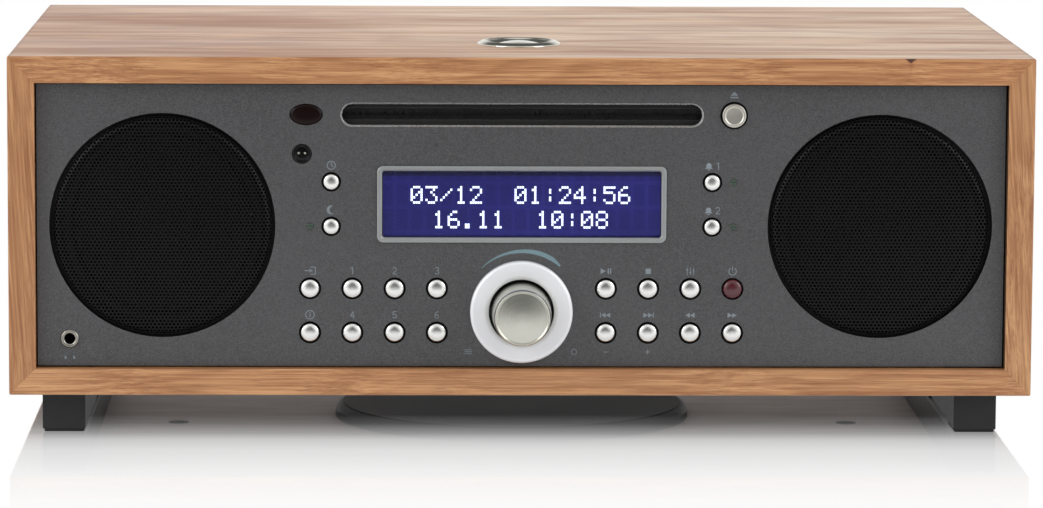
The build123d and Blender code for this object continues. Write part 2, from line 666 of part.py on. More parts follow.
def driver_frames():
    """Both baskets with their magnets."""
    return [placed_driver(make(), side) for side in (-1, 1) for make in (driver_frame, driver_magnet)]


def cone_surrounds():
    """The three rubber surrounds."""
    return [placed_driver(driver_surround(), side) for side in (-1, 1)] + [bass_surround()]


def full_range_cone(side):
    """The moving cone of the left or right driver."""
    return [placed_driver(solid, side) for solid in driver_cone()]


def bass_frame():
    """Basket and magnet of the bass driver, standing on the case's floor."""
    floor = IN_LOW
    basket = turned(
        [(55.6, floor), (BASS_FLANGE, floor), (BASS_FLANGE, floor + 3.2), (57.5, floor + 3.2),
         (41, floor + 32), (41, floor + 34), (16, floor + 34), (16, floor + 32), (39.5, floor + 32),
         (53.6, floor + 5.2), (53.6, floor + 2.2), (55.6, floor + 2.2)],
    )
    window = Pos(0, 0, floor + 18) * Box(26, 140, 16)
    basket = cut(basket, [Rot(0, 0, 60 * n) * window for n in range(3)])
    magnet = turned(
        [(0, floor + 26), (13.4, floor + 26), (13.4, floor + 44), (16, floor + 44), (16, floor + 34),
         (38, floor + 34), (38, floor + 52), (0, floor + 52)],
    )
    return [Pos(0, BASS_Y, 0) * solid for solid in (basket, magnet)]


def bass_surround():
    """Half-roll of the bass driver, bulging down."""
    middle, roll, skin = 50.6, 3.4, 0.8
    ring = Pos(middle, 0) * Circle(roll) - Pos(middle, 0) * Circle(roll - skin)
    half = ring & (Pos(middle, -roll / 2) * Rectangle(2 * roll, roll))
    lip = Pos(middle + roll + 0.6, -skin / 2) * Rectangle(1.6, skin)
    return Pos(0, BASS_Y, IN_LOW + 2.1) * revolve(Plane.XZ * (half + lip), axis=Axis.Z)


def bass_cone():
    """Bass cone with its former and dust cap, opening down."""
    edge = IN_LOW + 1.4
    cone = turned(
        [(46.8, edge), (46.8, edge + 1), (14.4, edge + 17), (14.4, edge + 29), (13.9, edge + 29),
         (13.9, edge + 16), (46.0, edge)],
    )
    cap_radius, rise = 19.0, 5.5
    sphere = (cap_radius**2 + rise**2) / (2 * rise)
    shell = Sphere(sphere) - Sphere(sphere - 0.7)
    top = edge + 12.9
    cap = (Pos(0, 0, top - rise + sphere) * shell) & rod(cap_radius, top - rise - 1, top - 0.3)
    return [Pos(0, BASS_Y, 0) * solid for solid in (cone, cap)]


def bass_guard():
    """Slotted cover under the bass driver, with grille cloth over its face."""
    low, skin = BOTTOM - GUARD_HEIGHT, 1.6
    cover = turned(
        [(0, low), (GUARD_RADIUS, low), (GUARD_RADIUS, BOTTOM), (BASS_HOLE + 1, BOTTOM),
         (BASS_HOLE + 1, low + skin), (0, low + skin)],
        {1: 3.0},
    )
    slots = []
    for count, radius in ((8, 14.0), (16, 25.0), (24, 36.0), (32, 47.0)):
        slot = Pos(radius, 0, low) * extrude(SlotOverall(8.4, 3), amount=2 * skin + 2, both=True)
        slots += [Rot(0, 0, 360 / count * n) * slot for n in range(count)]
    cloth = rod(GUARD_RADIUS - 2.9, low - CLOTH, low)
    return [Pos(0, BASS_Y, 0) * solid for solid in (cover - Compound(slots), cloth)]


# ---------------------------------------------------------------- disc player

SLED_Y = SPINDLE_Y + LENS_RADIUS_AT_REST
ROD_X, ROD_Z, ROD_RADIUS = 24.0, PLAYER_LOW + 5.0, 1.5


def disc_chassis():
    """Folded sheet chassis of the disc player, with its guide rods and spindle motor."""
    low, high = PLAYER_LOW, PLAYER_HIGH
    depth = (PLAYER_FRONT, PLAYER_BACK)
    floor = block((-PLAYER_X, PLAYER_X), depth, (low, low + SHEET))
    roof = block((-PLAYER_X, PLAYER_X), depth, (high - SHEET, high))
    frame = floor + roof
    for side in (-1, 1):
        outer, inner = side * PLAYER_X, side * (PLAYER_X - SHEET)
        frame += block(sorted((outer, inner)), depth, (low, high))
        for y in (-70, 45):
            frame += rod_z(side * 62, y, 3.5, high - SHEET, IN_HIGH)
    frame += block((-PLAYER_X, PLAYER_X), (PLAYER_BACK - SHEET, PLAYER_BACK), (low, high))
    frame -= rod_x(ROLLER_Y, SLOT_Z - DISC_GAP / 2 - 0.3 - ROLLER_RADIUS, 1.3, -PLAYER_X - 1, PLAYER_X + 1)
    frame -= rod_z(0, SPINDLE_Y, 20, high - 2, high + 1)
    frame -= block((-16, 16), (SLED_Y + 18, PLAYER_BACK - 12), (low - 1, low + SHEET + 1))
    for side in (-1, 1):
        for y in (SPINDLE_Y + 15, PLAYER_BACK - SHEET - 4):
            post = block((side * ROD_X - 3, side * ROD_X + 3), (y, y + 4), (low + SHEET, ROD_Z + 3))
            frame += post
        frame -= rod_y(side * ROD_X, ROD_Z, ROD_RADIUS, SPINDLE_Y + 14, PLAYER_BACK - SHEET)
    motor = rod_z(0, SPINDLE_Y, 12, low + SHEET, low + 7.5)
    motor -= rod_z(0, SPINDLE_Y, 1.55, low + SHEET + 0.5, low + 8)
    rods = [rod_y(side * ROD_X, ROD_Z, ROD_RADIUS, SPINDLE_Y + 15, PLAYER_BACK - SHEET) for side in (-1, 1)]
    return [frame, motor] + rods


def disc_spindle():
    """Turntable that carries the disc, with a centring boss and its shaft."""
    top = SLOT_Z - DISC_GAP / 2 - 0.3
    hub = turned(
        [(0, PLAYER_LOW + 2.0), (1.5, PLAYER_LOW + 2.0), (1.5, top - 3.2), (14, top - 3.2),
         (14, top - 1.8), (7.4, top - 1.8), (7.0, top), (0, top)],
        {6: 0.8},
    )
    return Pos(0, SPINDLE_Y, 0) * hub


def laser_sled():
    """Carriage with the laser's lens, sliding on the two guide rods."""
    low, high = ROD_Z - 2.6, ROD_Z + 3.4
    carriage = block((-29, 29), (SLED_Y - 4, SLED_Y + 13), (low, high))
    carriage -= block((-16, 16), (SLED_Y - 5, SLED_Y - 2), (low - 1, high + 1))
    for side in (-1, 1):
        carriage -= rod_y(side * ROD_X, ROD_Z, ROD_RADIUS + RUNNING, SLED_Y - 10, SLED_Y + 20)
    holder = rod_z(0, SLED_Y + 1.5, 3.2, high, high + 1.8)
    lens = Pos(0, SLED_Y + 1.5, high + 1.8) * (Sphere(2.6) & rod(2.6, 0, 1.2))
    return [carriage, holder, lens]


def loading_roller():
    """Rubber roller that draws the disc in, on a steel shaft."""
    z = SLOT_Z - DISC_GAP / 2 - 0.3 - ROLLER_RADIUS
    rubber = rod_x(ROLLER_Y, z, ROLLER_RADIUS, -60, 60) - rod_x(ROLLER_Y, z, 1.25, -61, 61)
    shaft = rod_x(ROLLER_Y, z, 1.25, -PLAYER_X - 1.5, PLAYER_X + 1.5)
    return [rubber, shaft]


# ---------------------------------------------------------------- electronics and sockets

def main_board():
    """Main circuit board on four posts, with heat sink, capacitors and tuner can."""
    x, y, z = (-164, -94), (-42, 92), 34.0
    top = z + BOARD_THICK
    solids = [block(x, y, (z, top))]
    for px in (x[0] + 5, x[1] - 5):
        for py in (y[0] + 5, y[1] - 5):
            solids.append(rod_z(px, py, 3, IN_LOW, z))
    sink = block((x[0] + 4, x[0] + 10), (-20, 50), (top, top + 34))
    for n in range(9):
        sink += block((x[0] + 10, x[0] + 22), (-19 + 8 * n, -16.5 + 8 * n), (top, top + 34))
    can = block((-118, -98), (48, 88), (top, top + 9))
    caps = [rod_z(-112, yy, 8, top, top + 28) for yy in (-28, -9, 10)]
    chips = [block((-134, -122), (yy, yy + 12), (top, top + 2)) for yy in (-10, 20, 60)]
    return solids + [sink, can] + caps + chips


def power_transformer():
    """Mains transformer: a laminated core round a coil, on two feet."""
    x, y, low = 128.0, 58.0, IN_LOW
    core = block((x - 28, x + 28), (y - 12, y + 12), (low + 2, low + 50))
    core -= block((x - 19, x - 9), (y - 13, y + 13), (low + 11, low + 41))
    core -= block((x + 9, x + 19), (y - 13, y + 13), (low + 11, low + 41))
    coil = block((x - 18.8, x + 18.8), (y - 20, y + 20), (low + 11.2, low + 40.8))
    coil = fillet(coil.edges().filter_by(Axis.Z), 5)
    coil -= block((x - 9, x + 9), (y - 12, y + 12), (low + 10, low + 42))
    coil -= block((x - 30, x - 18.8), (y - 12, y + 12), (low + 10, low + 42))
    coil -= block((x + 18.8, x + 30), (y - 12, y + 12), (low + 10, low + 42))
    core -= coil
    bracket = block((x - 34, x + 34), (y - 12, y + 12), (low, low + 2))
    return [core, coil, bracket]


def phono_socket(x, z):
    """One phono socket: a collar behind the panel, a neck through it and the contact barrel outside."""
    neck, inside = PHONO_RADIUS - NECK_STEP, PHONO_RADIUS - 0.9
    barrel = turned(
        [(PHONO_BORE, REAR_IN - 8), (7, REAR_IN - 8), (7, REAR_IN), (neck, REAR_IN), (neck, REAR + 0.6),
         (PHONO_RADIUS, REAR + 0.6), (PHONO_RADIUS, REAR + 9), (inside, REAR + 9), (inside, REAR + 1),
         (PHONO_BORE, REAR + 1)],
    )
    return facing(barrel, x, z)


def aerial_socket():
    """Aerial socket: a neck through the panel, a hexagonal flange against it and the plug's barrel."""
    neck = AERIAL_RADIUS - NECK_STEP
    barrel = turned(
        [(0.6, REAR_IN - 9), (7, REAR_IN - 9), (7, REAR_IN), (neck, REAR_IN), (neck, REAR + 2.5),
         (AERIAL_RADIUS, REAR + 2.5), (AERIAL_RADIUS, REAR + 9), (0.6, REAR + 9)],
        {6: 0.5},
    )
    flange = extrude(RegularPolygon(6.6, 6), 2) - rod(1, -1, 3)
    return facing(barrel + Pos(0, 0, REAR) * flange, AERIAL_X, AERIAL_Z)


def rear_sockets():
    """Phono pairs, aerial socket and the two-pin mains inlet."""
    shell = slab_y(mains_outline(), REAR_IN - 14, REAR + 1, MAINS_X, MAINS_Z)
    flange = slab_y(RectangleRounded(30, 20, 3), REAR, REAR + 1.5, MAINS_X, MAINS_Z)
    inlet = shell + flange - slab_y(SlotOverall(18, 10), REAR_IN - 8, REAR + 2, MAINS_X, MAINS_Z)
    for side in (-1, 1):
        inlet += rod_y(MAINS_X + side * 4.3, MAINS_Z, 1.2, REAR_IN - 9, REAR - 1)
    return [phono_socket(x, z) for x, z in PHONO] + [aerial_socket(), inlet]


def parts():
    """Every node of the model by name."""
    top, bottom, left, right = case_walls()
    nodes = {
        "cabinet_top": top,
        "cabinet_bottom": bottom,
        "cabinet_left": left,
        "cabinet_right": right,
        "panel_battens": battens(),
        "back_panel": back_panel(),
        "foot_rails": foot_rails(),
        "foot_pads": foot_pads(),
        "case_screws": case_screws(),
        "front_panel": front_panel(),
        "speaker_grilles": speaker_grilles(),
        "slot_felt": slot_felt(),
        "panel_lenses": panel_lenses(),
        "display_bezel": display_bezel(),
        "display_window": display_window(),
        "display_module": display_module(),
        "headphone_jack": headphone_jack(),
        "control_board": control_board(),
        "knob_ring": knob_ring(),
        "volume_knob": volume_knob(),
        "encoder_body": encoder_body(),
        "encoder_rotor": encoder_rotor(),
        "encoder_shaft": encoder_shaft(),
        "snooze_ring": snooze_ring(),
        "snooze_button": snooze_button(),
        "driver_frames": driver_frames(),
        "cone_surrounds": cone_surrounds(),
        "left_cone": full_range_cone(-1),
        "right_cone": full_range_cone(1),
        "bass_frame": bass_frame(),
        "bass_cone": bass_cone(),
        "bass_guard": bass_guard(),
        "disc_chassis": disc_chassis(),
        "disc_spindle": disc_spindle(),
        "laser_sled": laser_sled(),
        "loading_roller": loading_roller(),
        "main_board": main_board(),
        "power_transformer": power_transformer(),
        "rear_sockets": rear_sockets(),
    }
    for name, (x, z, radius) in BUTTONS.items():
        make = eject_button if name == "eject" else push_button
        nodes["button_" + name] = make(x, z, radius)
    return nodes


os.makedirs("parts", exist_ok=True)
for name, shape in parts().items():
    if isinstance(shape, list):
        shape = Compound(children=shape)
    export_step(shape, f"parts/{name}.step")
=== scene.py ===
"""Looks for the table-top hi-fi system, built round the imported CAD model.

Everything is in metres in the CAD frame: +Z up, the front facing -Y. Sizes written as a number
times MM are millimetres.
"""
import math
import random

import bpy
from mathutils import Matrix, Vector


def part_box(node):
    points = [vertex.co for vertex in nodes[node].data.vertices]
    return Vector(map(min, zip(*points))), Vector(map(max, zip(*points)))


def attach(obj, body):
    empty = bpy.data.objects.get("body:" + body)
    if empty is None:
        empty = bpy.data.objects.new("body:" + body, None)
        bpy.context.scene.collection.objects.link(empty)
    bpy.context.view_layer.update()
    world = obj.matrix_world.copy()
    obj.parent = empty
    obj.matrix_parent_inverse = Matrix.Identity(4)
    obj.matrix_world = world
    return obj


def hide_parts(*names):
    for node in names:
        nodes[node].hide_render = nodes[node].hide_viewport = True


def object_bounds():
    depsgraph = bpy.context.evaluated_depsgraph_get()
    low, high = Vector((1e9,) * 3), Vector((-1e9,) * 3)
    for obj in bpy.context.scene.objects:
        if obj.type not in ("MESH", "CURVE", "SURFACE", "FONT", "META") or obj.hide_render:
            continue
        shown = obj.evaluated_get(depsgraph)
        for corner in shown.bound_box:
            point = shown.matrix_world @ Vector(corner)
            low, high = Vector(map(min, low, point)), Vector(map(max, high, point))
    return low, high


MM = 0.001
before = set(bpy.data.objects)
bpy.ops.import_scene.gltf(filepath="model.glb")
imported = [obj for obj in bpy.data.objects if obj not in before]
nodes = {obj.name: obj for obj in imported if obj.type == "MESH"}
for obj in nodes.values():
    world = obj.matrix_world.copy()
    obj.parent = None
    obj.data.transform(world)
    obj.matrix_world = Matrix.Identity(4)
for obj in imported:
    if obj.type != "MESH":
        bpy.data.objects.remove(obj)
cad_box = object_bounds()
rng = random.Random(7)

FACING_FRONT = Matrix(((1, 0, 0), (0, 0, -1), (0, 1, 0))).to_4x4()  # local +Z becomes -Y
FACING_BACK = Matrix(((-1, 0, 0), (0, 0, 1), (0, 1, 0))).to_4x4()  # local +Z becomes +Y
SMOOTH_ANGLE = math.radians(32)

PANEL_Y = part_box("front_panel")[0].y
CASE_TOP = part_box("cabinet_top")[1].z


def centre(node):
    """Middle of a CAD node's box."""
    low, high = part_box(node)
    return (low + high) / 2


# ---------------------------------------------------------------- node materials

def srgb(red, green, blue, alpha=1.0):
    """Linear colour from display values of 0 to 255."""
    linear = []
    for value in (red, green, blue):
        value /= 255
        linear.append(value / 12.92 if value <= 0.04045 else ((value + 0.055) / 1.055) ** 2.4)
    return (*linear, alpha)


class Graph:
    """Shader nodes added to one node tree."""

    def __init__(self, tree):
        self.tree = tree
        tree.nodes.clear()

    def node(self, kind, inputs=None, out=0, **settings):
        """Adds a node, fills its inputs with sockets or values, and returns one output."""
        node = self.tree.nodes.new("ShaderNode" + kind)
        for key, value in settings.items():
            setattr(node, key, value)
        for key, value in (inputs or {}).items():
            if isinstance(value, bpy.types.NodeSocket):
                self.tree.links.new(value, node.inputs[key])
            else:
                node.inputs[key].default_value = value
        return node.outputs[out]

    def math(self, operation, first, second=0.0):
        return self.node("Math", {0: first, 1: second}, operation=operation)

    def product(self, *factors):
        """All the factors multiplied together."""
        result = factors[0]
        for factor in factors[1:]:
            result = self.math("MULTIPLY", result, factor)
        return result

    def step(self, value, low, high):
        """A smooth rise from 0 to 1 as the value goes from low to high, or a fall if low is above high."""
        return self.node("MapRange", {0: value, 1: low, 2: high}, interpolation_type="SMOOTHSTEP")

    def axes(self, vector):
        """The three components of a vector."""
        return self.node("SeparateXYZ", {0: vector}).node.outputs

    def noise(self, vector, scale=1.0, detail=3.0, roughness=0.5, distortion=0.0):
        inputs = {"Vector": vector, "Scale": scale, "Detail": detail, "Roughness": roughness, "Distortion": distortion}
        return self.node("TexNoise", inputs)

    def ramp(self, factor, *stops):
        """A colour ramp from (position, colour) stops; a number stands for a grey."""
        result = self.node("ValToRGB", {0: factor})
        elements = result.node.color_ramp.elements
        while len(elements) < len(stops):
            elements.new(0.5)
        for element, (position, colour) in zip(elements, stops):
            element.position = position
            element.color = colour if isinstance(colour, tuple) else (colour, colour, colour, 1)
        return result

    def mix(self, factor, first, second, blend="MIX"):
        return self.node("Mix", {0: factor, 6: first, 7: second}, out=2, data_type="RGBA", blend_type=blend)

    def end(self, surface, kind="Material"):
        """Joins a surface to the tree's output."""
        output = self.tree.nodes.new("ShaderNodeOutput" + kind)
        self.tree.links.new(surface, output.inputs["Surface"])


class Shader(Graph):
    """A node material while it is being put together; turn rotates its textures, in degrees."""

    def __init__(self, name, turn=(0, 0, 0)):
        self.material = bpy.data.materials.new(name)
        self.material.use_nodes = True
        super().__init__(self.material.node_tree)
        angles = [math.radians(angle) for angle in turn]
        self.raw = self.node("Mapping", {"Vector": self.node("TexCoord", out=3), "Rotation": angles})

    def place(self, scale=(1, 1, 1), offset=(0, 0, 0)):
        """Object coordinates in millimetres, turned and then scaled along each axis."""
        factors = [1000 * value for value in scale]
        return self.node("Mapping", {"Vector": self.raw, "Scale": factors, "Location": offset})

    def wave(self, grain, amount):
        """Bends the textures made after it across the grain, in slow waves of about that many millimetres."""
        slow = self.noise(self.place(along_grain(grain, 105, 45), (5, 2, 9)), detail=1.5)
        shift = self.math("MULTIPLY", self.math("SUBTRACT", slow, 0.5), 4 * amount * MM)
        bend = self.node("CombineXYZ", {grain[1]: shift})
        self.raw = self.node("VectorMath", {0: self.raw, 1: bend}, operation="ADD")

    def cells(self, vector, scale=1.0):
        """A random value for each Voronoi cell."""
        colour = self.node("TexVoronoi", {"Vector": vector, "Scale": scale}, out=1)
        return self.node("SeparateColor", {0: colour})

    def bump(self, height, depth, strength=1.0):
        """A bump of the given depth in millimetres."""
        return self.node("Bump", {"Height": height, "Distance": depth * MM, "Strength": strength})

    def finish(self, **inputs):
        """Ends in a principled surface; underscores in the names stand for spaces."""
        named = {key.replace("_", " "): value for key, value in inputs.items()}
        self.end(self.node("BsdfPrincipled", named))
        return self.material


GRAIN_X, GRAIN_Z = (0, 1, 2), (2, 1, 0)  # which axes run along, across and through the veneer


def along_grain(grain, along, across):
    """Scale factors that stretch a texture along the grain; both sizes are in millimetres."""
    scale = [1 / across] * 3
    scale[grain[0]] = 1 / along
    return scale


def knot_mark(s, colour, x, top):
    """A small dark knot cut by the front top edge of the case, with a reddish streak below it."""
    raw = s.axes(s.node("Mapping", {"Vector": s.node("TexCoord", out=3), "Scale": (1000, 1000, 1000)}))
    front = s.step(raw[1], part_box("cabinet_top")[0].y / MM + 1.4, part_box("cabinet_top")[0].y / MM + 0.8)
    aside = s.math("ABSOLUTE", s.math("SUBTRACT", raw[0], x))
    below = s.math("MAXIMUM", s.math("SUBTRACT", top, raw[2]), 0.0)
    ragged = s.noise(s.place(), 1.6, 3.0)
    streak = s.math("ADD", s.math("MULTIPLY", aside, 0.42), s.math("MULTIPLY", below, 0.15))
    colour = s.mix(s.product(s.step(streak, 1.0, 0.3), front, 0.4), colour, srgb(138, 74, 40))
    spread = s.math("ADD", s.math("MULTIPLY", aside, 0.44), s.math("MULTIPLY", below, 0.62))
    spread = s.math("ADD", spread, s.math("MULTIPLY", ragged, 0.4))
    return s.mix(s.product(s.step(spread, 1.35, 0.95), front, 0.9), colour, srgb(52, 24, 14))


def top_tone(s, colour):
    """Slow change along the top board: a ruddy tone at its left end, then a paler colour that is painted sheen, with
    darker end edges.
    """
    x = s.axes(s.node("Mapping", {"Vector": s.node("TexCoord", out=3), "Scale": (1000, 1000, 1000)}))[0]
    cloud = s.noise(s.place(along_grain(GRAIN_X, 60, 24), (5, 1, 2)), detail=3.0, roughness=0.6)
    # Painted sheen: from the middle rightwards the top is mixed towards a pale colour that stands in for its bright
    # grazing reflection.
    colour = s.mix(s.product(s.step(x, -110.0, 0.0), 0.55), colour, srgb(204, 188, 158))
    ruddy = s.math("MULTIPLY", s.step(x, -20.0, -120.0), s.ramp(cloud, (0.40, 0.2), (0.60, 0.85)))
    colour = s.mix(ruddy, colour, srgb(128, 82, 40))
    end = s.step(s.math("ABSOLUTE", x), 177.6, 178.6)
    return s.mix(s.math("MULTIPLY", end, 0.6), colour, srgb(84, 56, 38))


def cherry(name, grain, turn=(0, 0, 0), knot=None, shade=1.0, coarse=1.0):
    """Lacquered cherry veneer: ring figure, fibre streaks, pores and slow changes of tone."""
    s = Shader(name, turn)
    s.wave(grain, 3.5)
    wander = s.noise(s.place(along_grain(grain, 150, 30 * coarse**0.5)), detail=2.5, roughness=0.45)
    place = s.axes(s.place())
    across = s.math("ADD", place[grain[1]], -35.0)
    through = s.math("ADD", s.math("ABSOLUTE", place[grain[2]]), 60.0)
    radius = s.math("SQRT", s.math("ADD", s.math("POWER", across, 2.0), s.math("POWER", through, 2.0)))
    shifted = s.math("ADD", radius, s.math("MULTIPLY", wander, 52.0 * coarse**0.4))
    ring = s.math("FRACT", s.math("MULTIPLY", shifted, 1 / (6.2 * coarse**0.6)))
    figure = s.ramp(ring, (0.0, 0.42), (0.12, 0.08), (0.55, 0.28), (0.92, 0.90), (1.0, 0.50))
    tone = s.noise(s.place(along_grain(grain, 220, 40), (3, 1, 7)), detail=2.0)
    band = s.noise(s.place(along_grain(grain, 170, 3.6 * coarse)), detail=3.0, roughness=0.6)
    streak = s.noise(s.place(along_grain(grain, 85, 1.0 * coarse)), detail=4.0, roughness=0.6)
    fibre = s.noise(s.place(along_grain(grain, 48, 0.42 * coarse**0.8), (7, 4, 2)), detail=3.0, roughness=0.7)
    pore = s.noise(s.place(along_grain(grain, 14.0, 0.28 * coarse**0.5)), detail=2.0, roughness=0.5)
    pores = s.ramp(pore, (0.58, 0.0), (0.70, 1.0))
    light, middle, dark, deep = (tuple(c * shade for c in srgb(*colour)[:3]) + (1.0,) for colour in
                                 ((213, 164, 116), (194, 141, 95), (146, 92, 54), (100, 56, 30)))
    colour = s.mix(s.ramp(tone, (0.3, 0.0), (0.7, 1.0)), light, middle)
    if coarse > 1:
        colour = top_tone(s, colour)
    colour = s.mix(s.math("MULTIPLY", figure, 0.55), colour, dark)
    colour = s.mix(s.math("MULTIPLY", s.ramp(band, (0.45, 0.0), (0.66, 1.0)), 0.55), colour, dark)
    colour = s.mix(s.math("MULTIPLY", s.ramp(streak, (0.48, 0.0), (0.66, 1.0)), 0.75), colour, dark)
    colour = s.mix(s.math("MULTIPLY", s.ramp(streak, (0.32, 1.0), (0.47, 0.0)), 0.55), colour, light)
    colour = s.mix(s.math("MULTIPLY", s.ramp(fibre, (0.46, 0.0), (0.60, 1.0)), 0.42), colour, dark)
    colour = s.mix(s.math("MULTIPLY", pores, 0.42), colour, deep)
    if knot:
        colour = knot_mark(s, colour, *knot)
    rough = s.ramp(streak, (0.3, 0.40), (0.8, 0.54))
    coat = s.ramp(band, (0.36, 0.60), (0.64, 0.20)) if coarse > 1 else 0.42
    height = s.math("SUBTRACT", s.math("MULTIPLY", streak, 0.5), pores)
    return s.finish(
        Base_Color=colour, Roughness=rough, Coat_Weight=coat, Coat_Roughness=0.3, Specular_IOR_Level=0.35,
        Normal=s.bump(height, 0.05, 0.4),
    )


def raw_wood():
    """Sawn softwood of the battens."""
    s = Shader("raw_wood")
    grain = s.noise(s.place(along_grain(GRAIN_X, 60, 2.2)), detail=4.0, roughness=0.6)
    colour = s.ramp(grain, (0.3, srgb(206, 172, 122)), (0.7, srgb(166, 126, 78)))
    return s.finish(Base_Color=colour, Roughness=0.8, Normal=s.bump(grain, 0.2, 0.6))


def underside_wood():
    """Bare greyish board under the case."""
    s = Shader("underside_board")
    grain = s.noise(s.place(along_grain(GRAIN_X, 40, 1.4)), detail=4.0, roughness=0.65)
    blotch = s.noise(s.place(), 0.03, 3.0)
    colour = s.ramp(grain, (0.3, srgb(160, 150, 145)), (0.7, srgb(122, 112, 108)))
    colour = s.mix(s.math("MULTIPLY", blotch, 0.3), colour, srgb(96, 90, 86))
    return s.finish(Base_Color=colour, Roughness=0.7, Normal=s.bump(grain, 0.1, 0.5))


def flaked_paint(name, dark, light, roughness=0.42, metallic=0.65, size=0.2):
    """Metallic paint with fine flakes and a very slight orange peel."""
    s = Shader(name)
    flake = s.cells(s.place(), 1 / size)
    cloud = s.noise(s.place(), 0.02, 3.0)
    colour = s.mix(s.ramp(flake, (0.15, 0.0), (0.95, 1.0)), dark, light)
    colour = s.mix(s.ramp(cloud, (0.35, 0.0), (0.75, 0.28)), colour, light)
    peel = s.noise(s.place(), 1.1, 2.0)
    height = s.math("ADD", s.math("MULTIPLY", flake, 0.5), peel)
    rough = s.ramp(flake, (0.0, roughness - 0.05), (1.0, roughness + 0.12))
    return s.finish(
        Base_Color=colour, Metallic=metallic, Roughness=rough, Normal=s.bump(height, 0.012, 0.4),
        Coat_Weight=0.08, Coat_Roughness=0.3,
    )


def fine_plastic(name, colour, roughness=0.5, grain=0.5, depth=0.02, coat=0.0, specular=0.5):
    """Moulded plastic or plain paint with a fine texture and slight changes of gloss."""
    s = Shader(name)
    texture = s.noise(s.place(), grain * 4, 4.0, 0.6)
    cloud = s.noise(s.place(), 0.05, 3.0)
    lighter = tuple(min(1.0, c * 1.5 + 0.003) for c in colour[:3]) + (1.0,)
    base = s.mix(s.ramp(cloud, (0.3, 0.0), (0.8, 0.6)), colour, lighter)
    rough = s.ramp(texture, (0.3, roughness - 0.06), (0.7, roughness + 0.08))
    return s.finish(
        Base_Color=base, Roughness=rough, Normal=s.bump(texture, depth, 0.5), Coat_Weight=coat, Coat_Roughness=0.15,
        Specular_IOR_Level=specular,
    )


def turned_metal(name, colour, roughness=0.26, rings=2.2, anisotropic=0.7, depth=0.008, metallic=1.0, spun=0.0):
    """Metal turned on a lathe: fine circular tool marks round the piece's own axis, local Z."""
    s = Shader(name)
    place = s.place()
    flat = s.node("VectorMath", {0: place, 1: (1, 1, 0)}, operation="MULTIPLY")
    radius = s.node("VectorMath", {0: flat}, out=1, operation="LENGTH")
    combined = s.node("CombineXYZ", {0: s.math("MULTIPLY", radius, rings * 6), 2: 0.0})
    marks = s.noise(combined, 1.0, 3.0, 0.7)
    smudge = s.noise(place, 0.09, 3.0)
    shaded = tuple(0.8 * c for c in colour[:3]) + (1.0,)
    base = s.mix(s.ramp(marks, (0.3, 0.0), (0.7, 0.5)), colour, shaded)
    uneven = s.ramp(marks, (0.3, roughness - 0.04), (0.7, roughness + 0.05))
    return s.finish(
        Base_Color=base, Metallic=metallic, Roughness=s.math("ADD", uneven, s.math("MULTIPLY", smudge, 0.06)),
        Anisotropic=anisotropic, Anisotropic_Rotation=spun,
        Tangent=s.node("Tangent", direction_type="RADIAL", axis="Z"), Normal=s.bump(marks, depth, 0.4),
    )


def plain_metal(name, colour, roughness=0.3, grain=1.0, depth=0.01):
    """Plated or rolled metal with a fine mottle."""
    s = Shader(name)
    mottle = s.noise(s.place(), grain, 5.0, 0.6)
    base = s.mix(s.ramp(mottle, (0.3, 0.0), (0.75, 0.5)), colour, tuple(0.7 * c for c in colour[:3]) + (1.0,))
    rough = s.ramp(mottle, (0.3, roughness - 0.05), (0.7, roughness + 0.1))
    return s.finish(Base_Color=base, Metallic=1.0, Roughness=rough, Normal=s.bump(mottle, depth, 0.4))


def felt_pile(name, colour):
    """Matt pile with sheen."""
    s = Shader(name)
    fuzz = s.noise(s.place(), 2.5, 5.0, 0.7)
    base = s.ramp(fuzz, (0.3, tuple(0.5 * c for c in colour[:3]) + (1.0,)), (0.75, colour))
    return s.finish(
        Base_Color=base, Roughness=0.95, Sheen_Weight=0.15, Sheen_Roughness=0.6, Normal=s.bump(fuzz, 0.3, 0.7),
    )


def pressed_paper(name, colour):
    """Speaker-cone paper with short fibres."""
    s = Shader(name)
    fibre = s.noise(s.place(), 1.3, 6.0, 0.7, 1.2)
    base = s.ramp(fibre, (0.35, colour), (0.7, tuple(2.2 * c for c in colour[:3]) + (1.0,)))
    return s.finish(Base_Color=base, Roughness=0.85, Normal=s.bump(fibre, 0.12, 0.6))


def circuit_green(name):
    """Solder-masked board with faint copper tracks."""
    s = Shader(name)
    track = s.node("TexBrick", {"Vector": s.place(), "Scale": 0.45, "Mortar Size": 0.06, "Mortar Smooth": 0.4}, out=1)
    tone = s.noise(s.place(), 0.3, 3.0)
    base = s.mix(track, srgb(14, 62, 34), srgb(38, 104, 58))
    base = s.mix(s.math("MULTIPLY", tone, 0.4), base, srgb(8, 40, 24))
    return s.finish(Base_Color=base, Roughness=0.35, Normal=s.bump(track, 0.04, 0.5), Coat_Weight=0.5)


def grille_cloth():
    """Woven black cloth over the bass guard."""
    s = Shader("guard_cloth")
    weave = s.node("TexBrick", {"Vector": s.place(), "Scale": 1.1, "Mortar Size": 0.12, "Mortar Smooth": 0.6}, out=1)
    cloud = s.noise(s.place(), 0.05, 3.0)
    base = s.mix(s.ramp(cloud, (0.3, 0.0), (0.7, 1.0)), srgb(36, 33, 32), srgb(46, 42, 41))
    return s.finish(Base_Color=base, Roughness=0.85, Sheen_Weight=0.1, Normal=s.bump(weave, 0.15, 0.6))


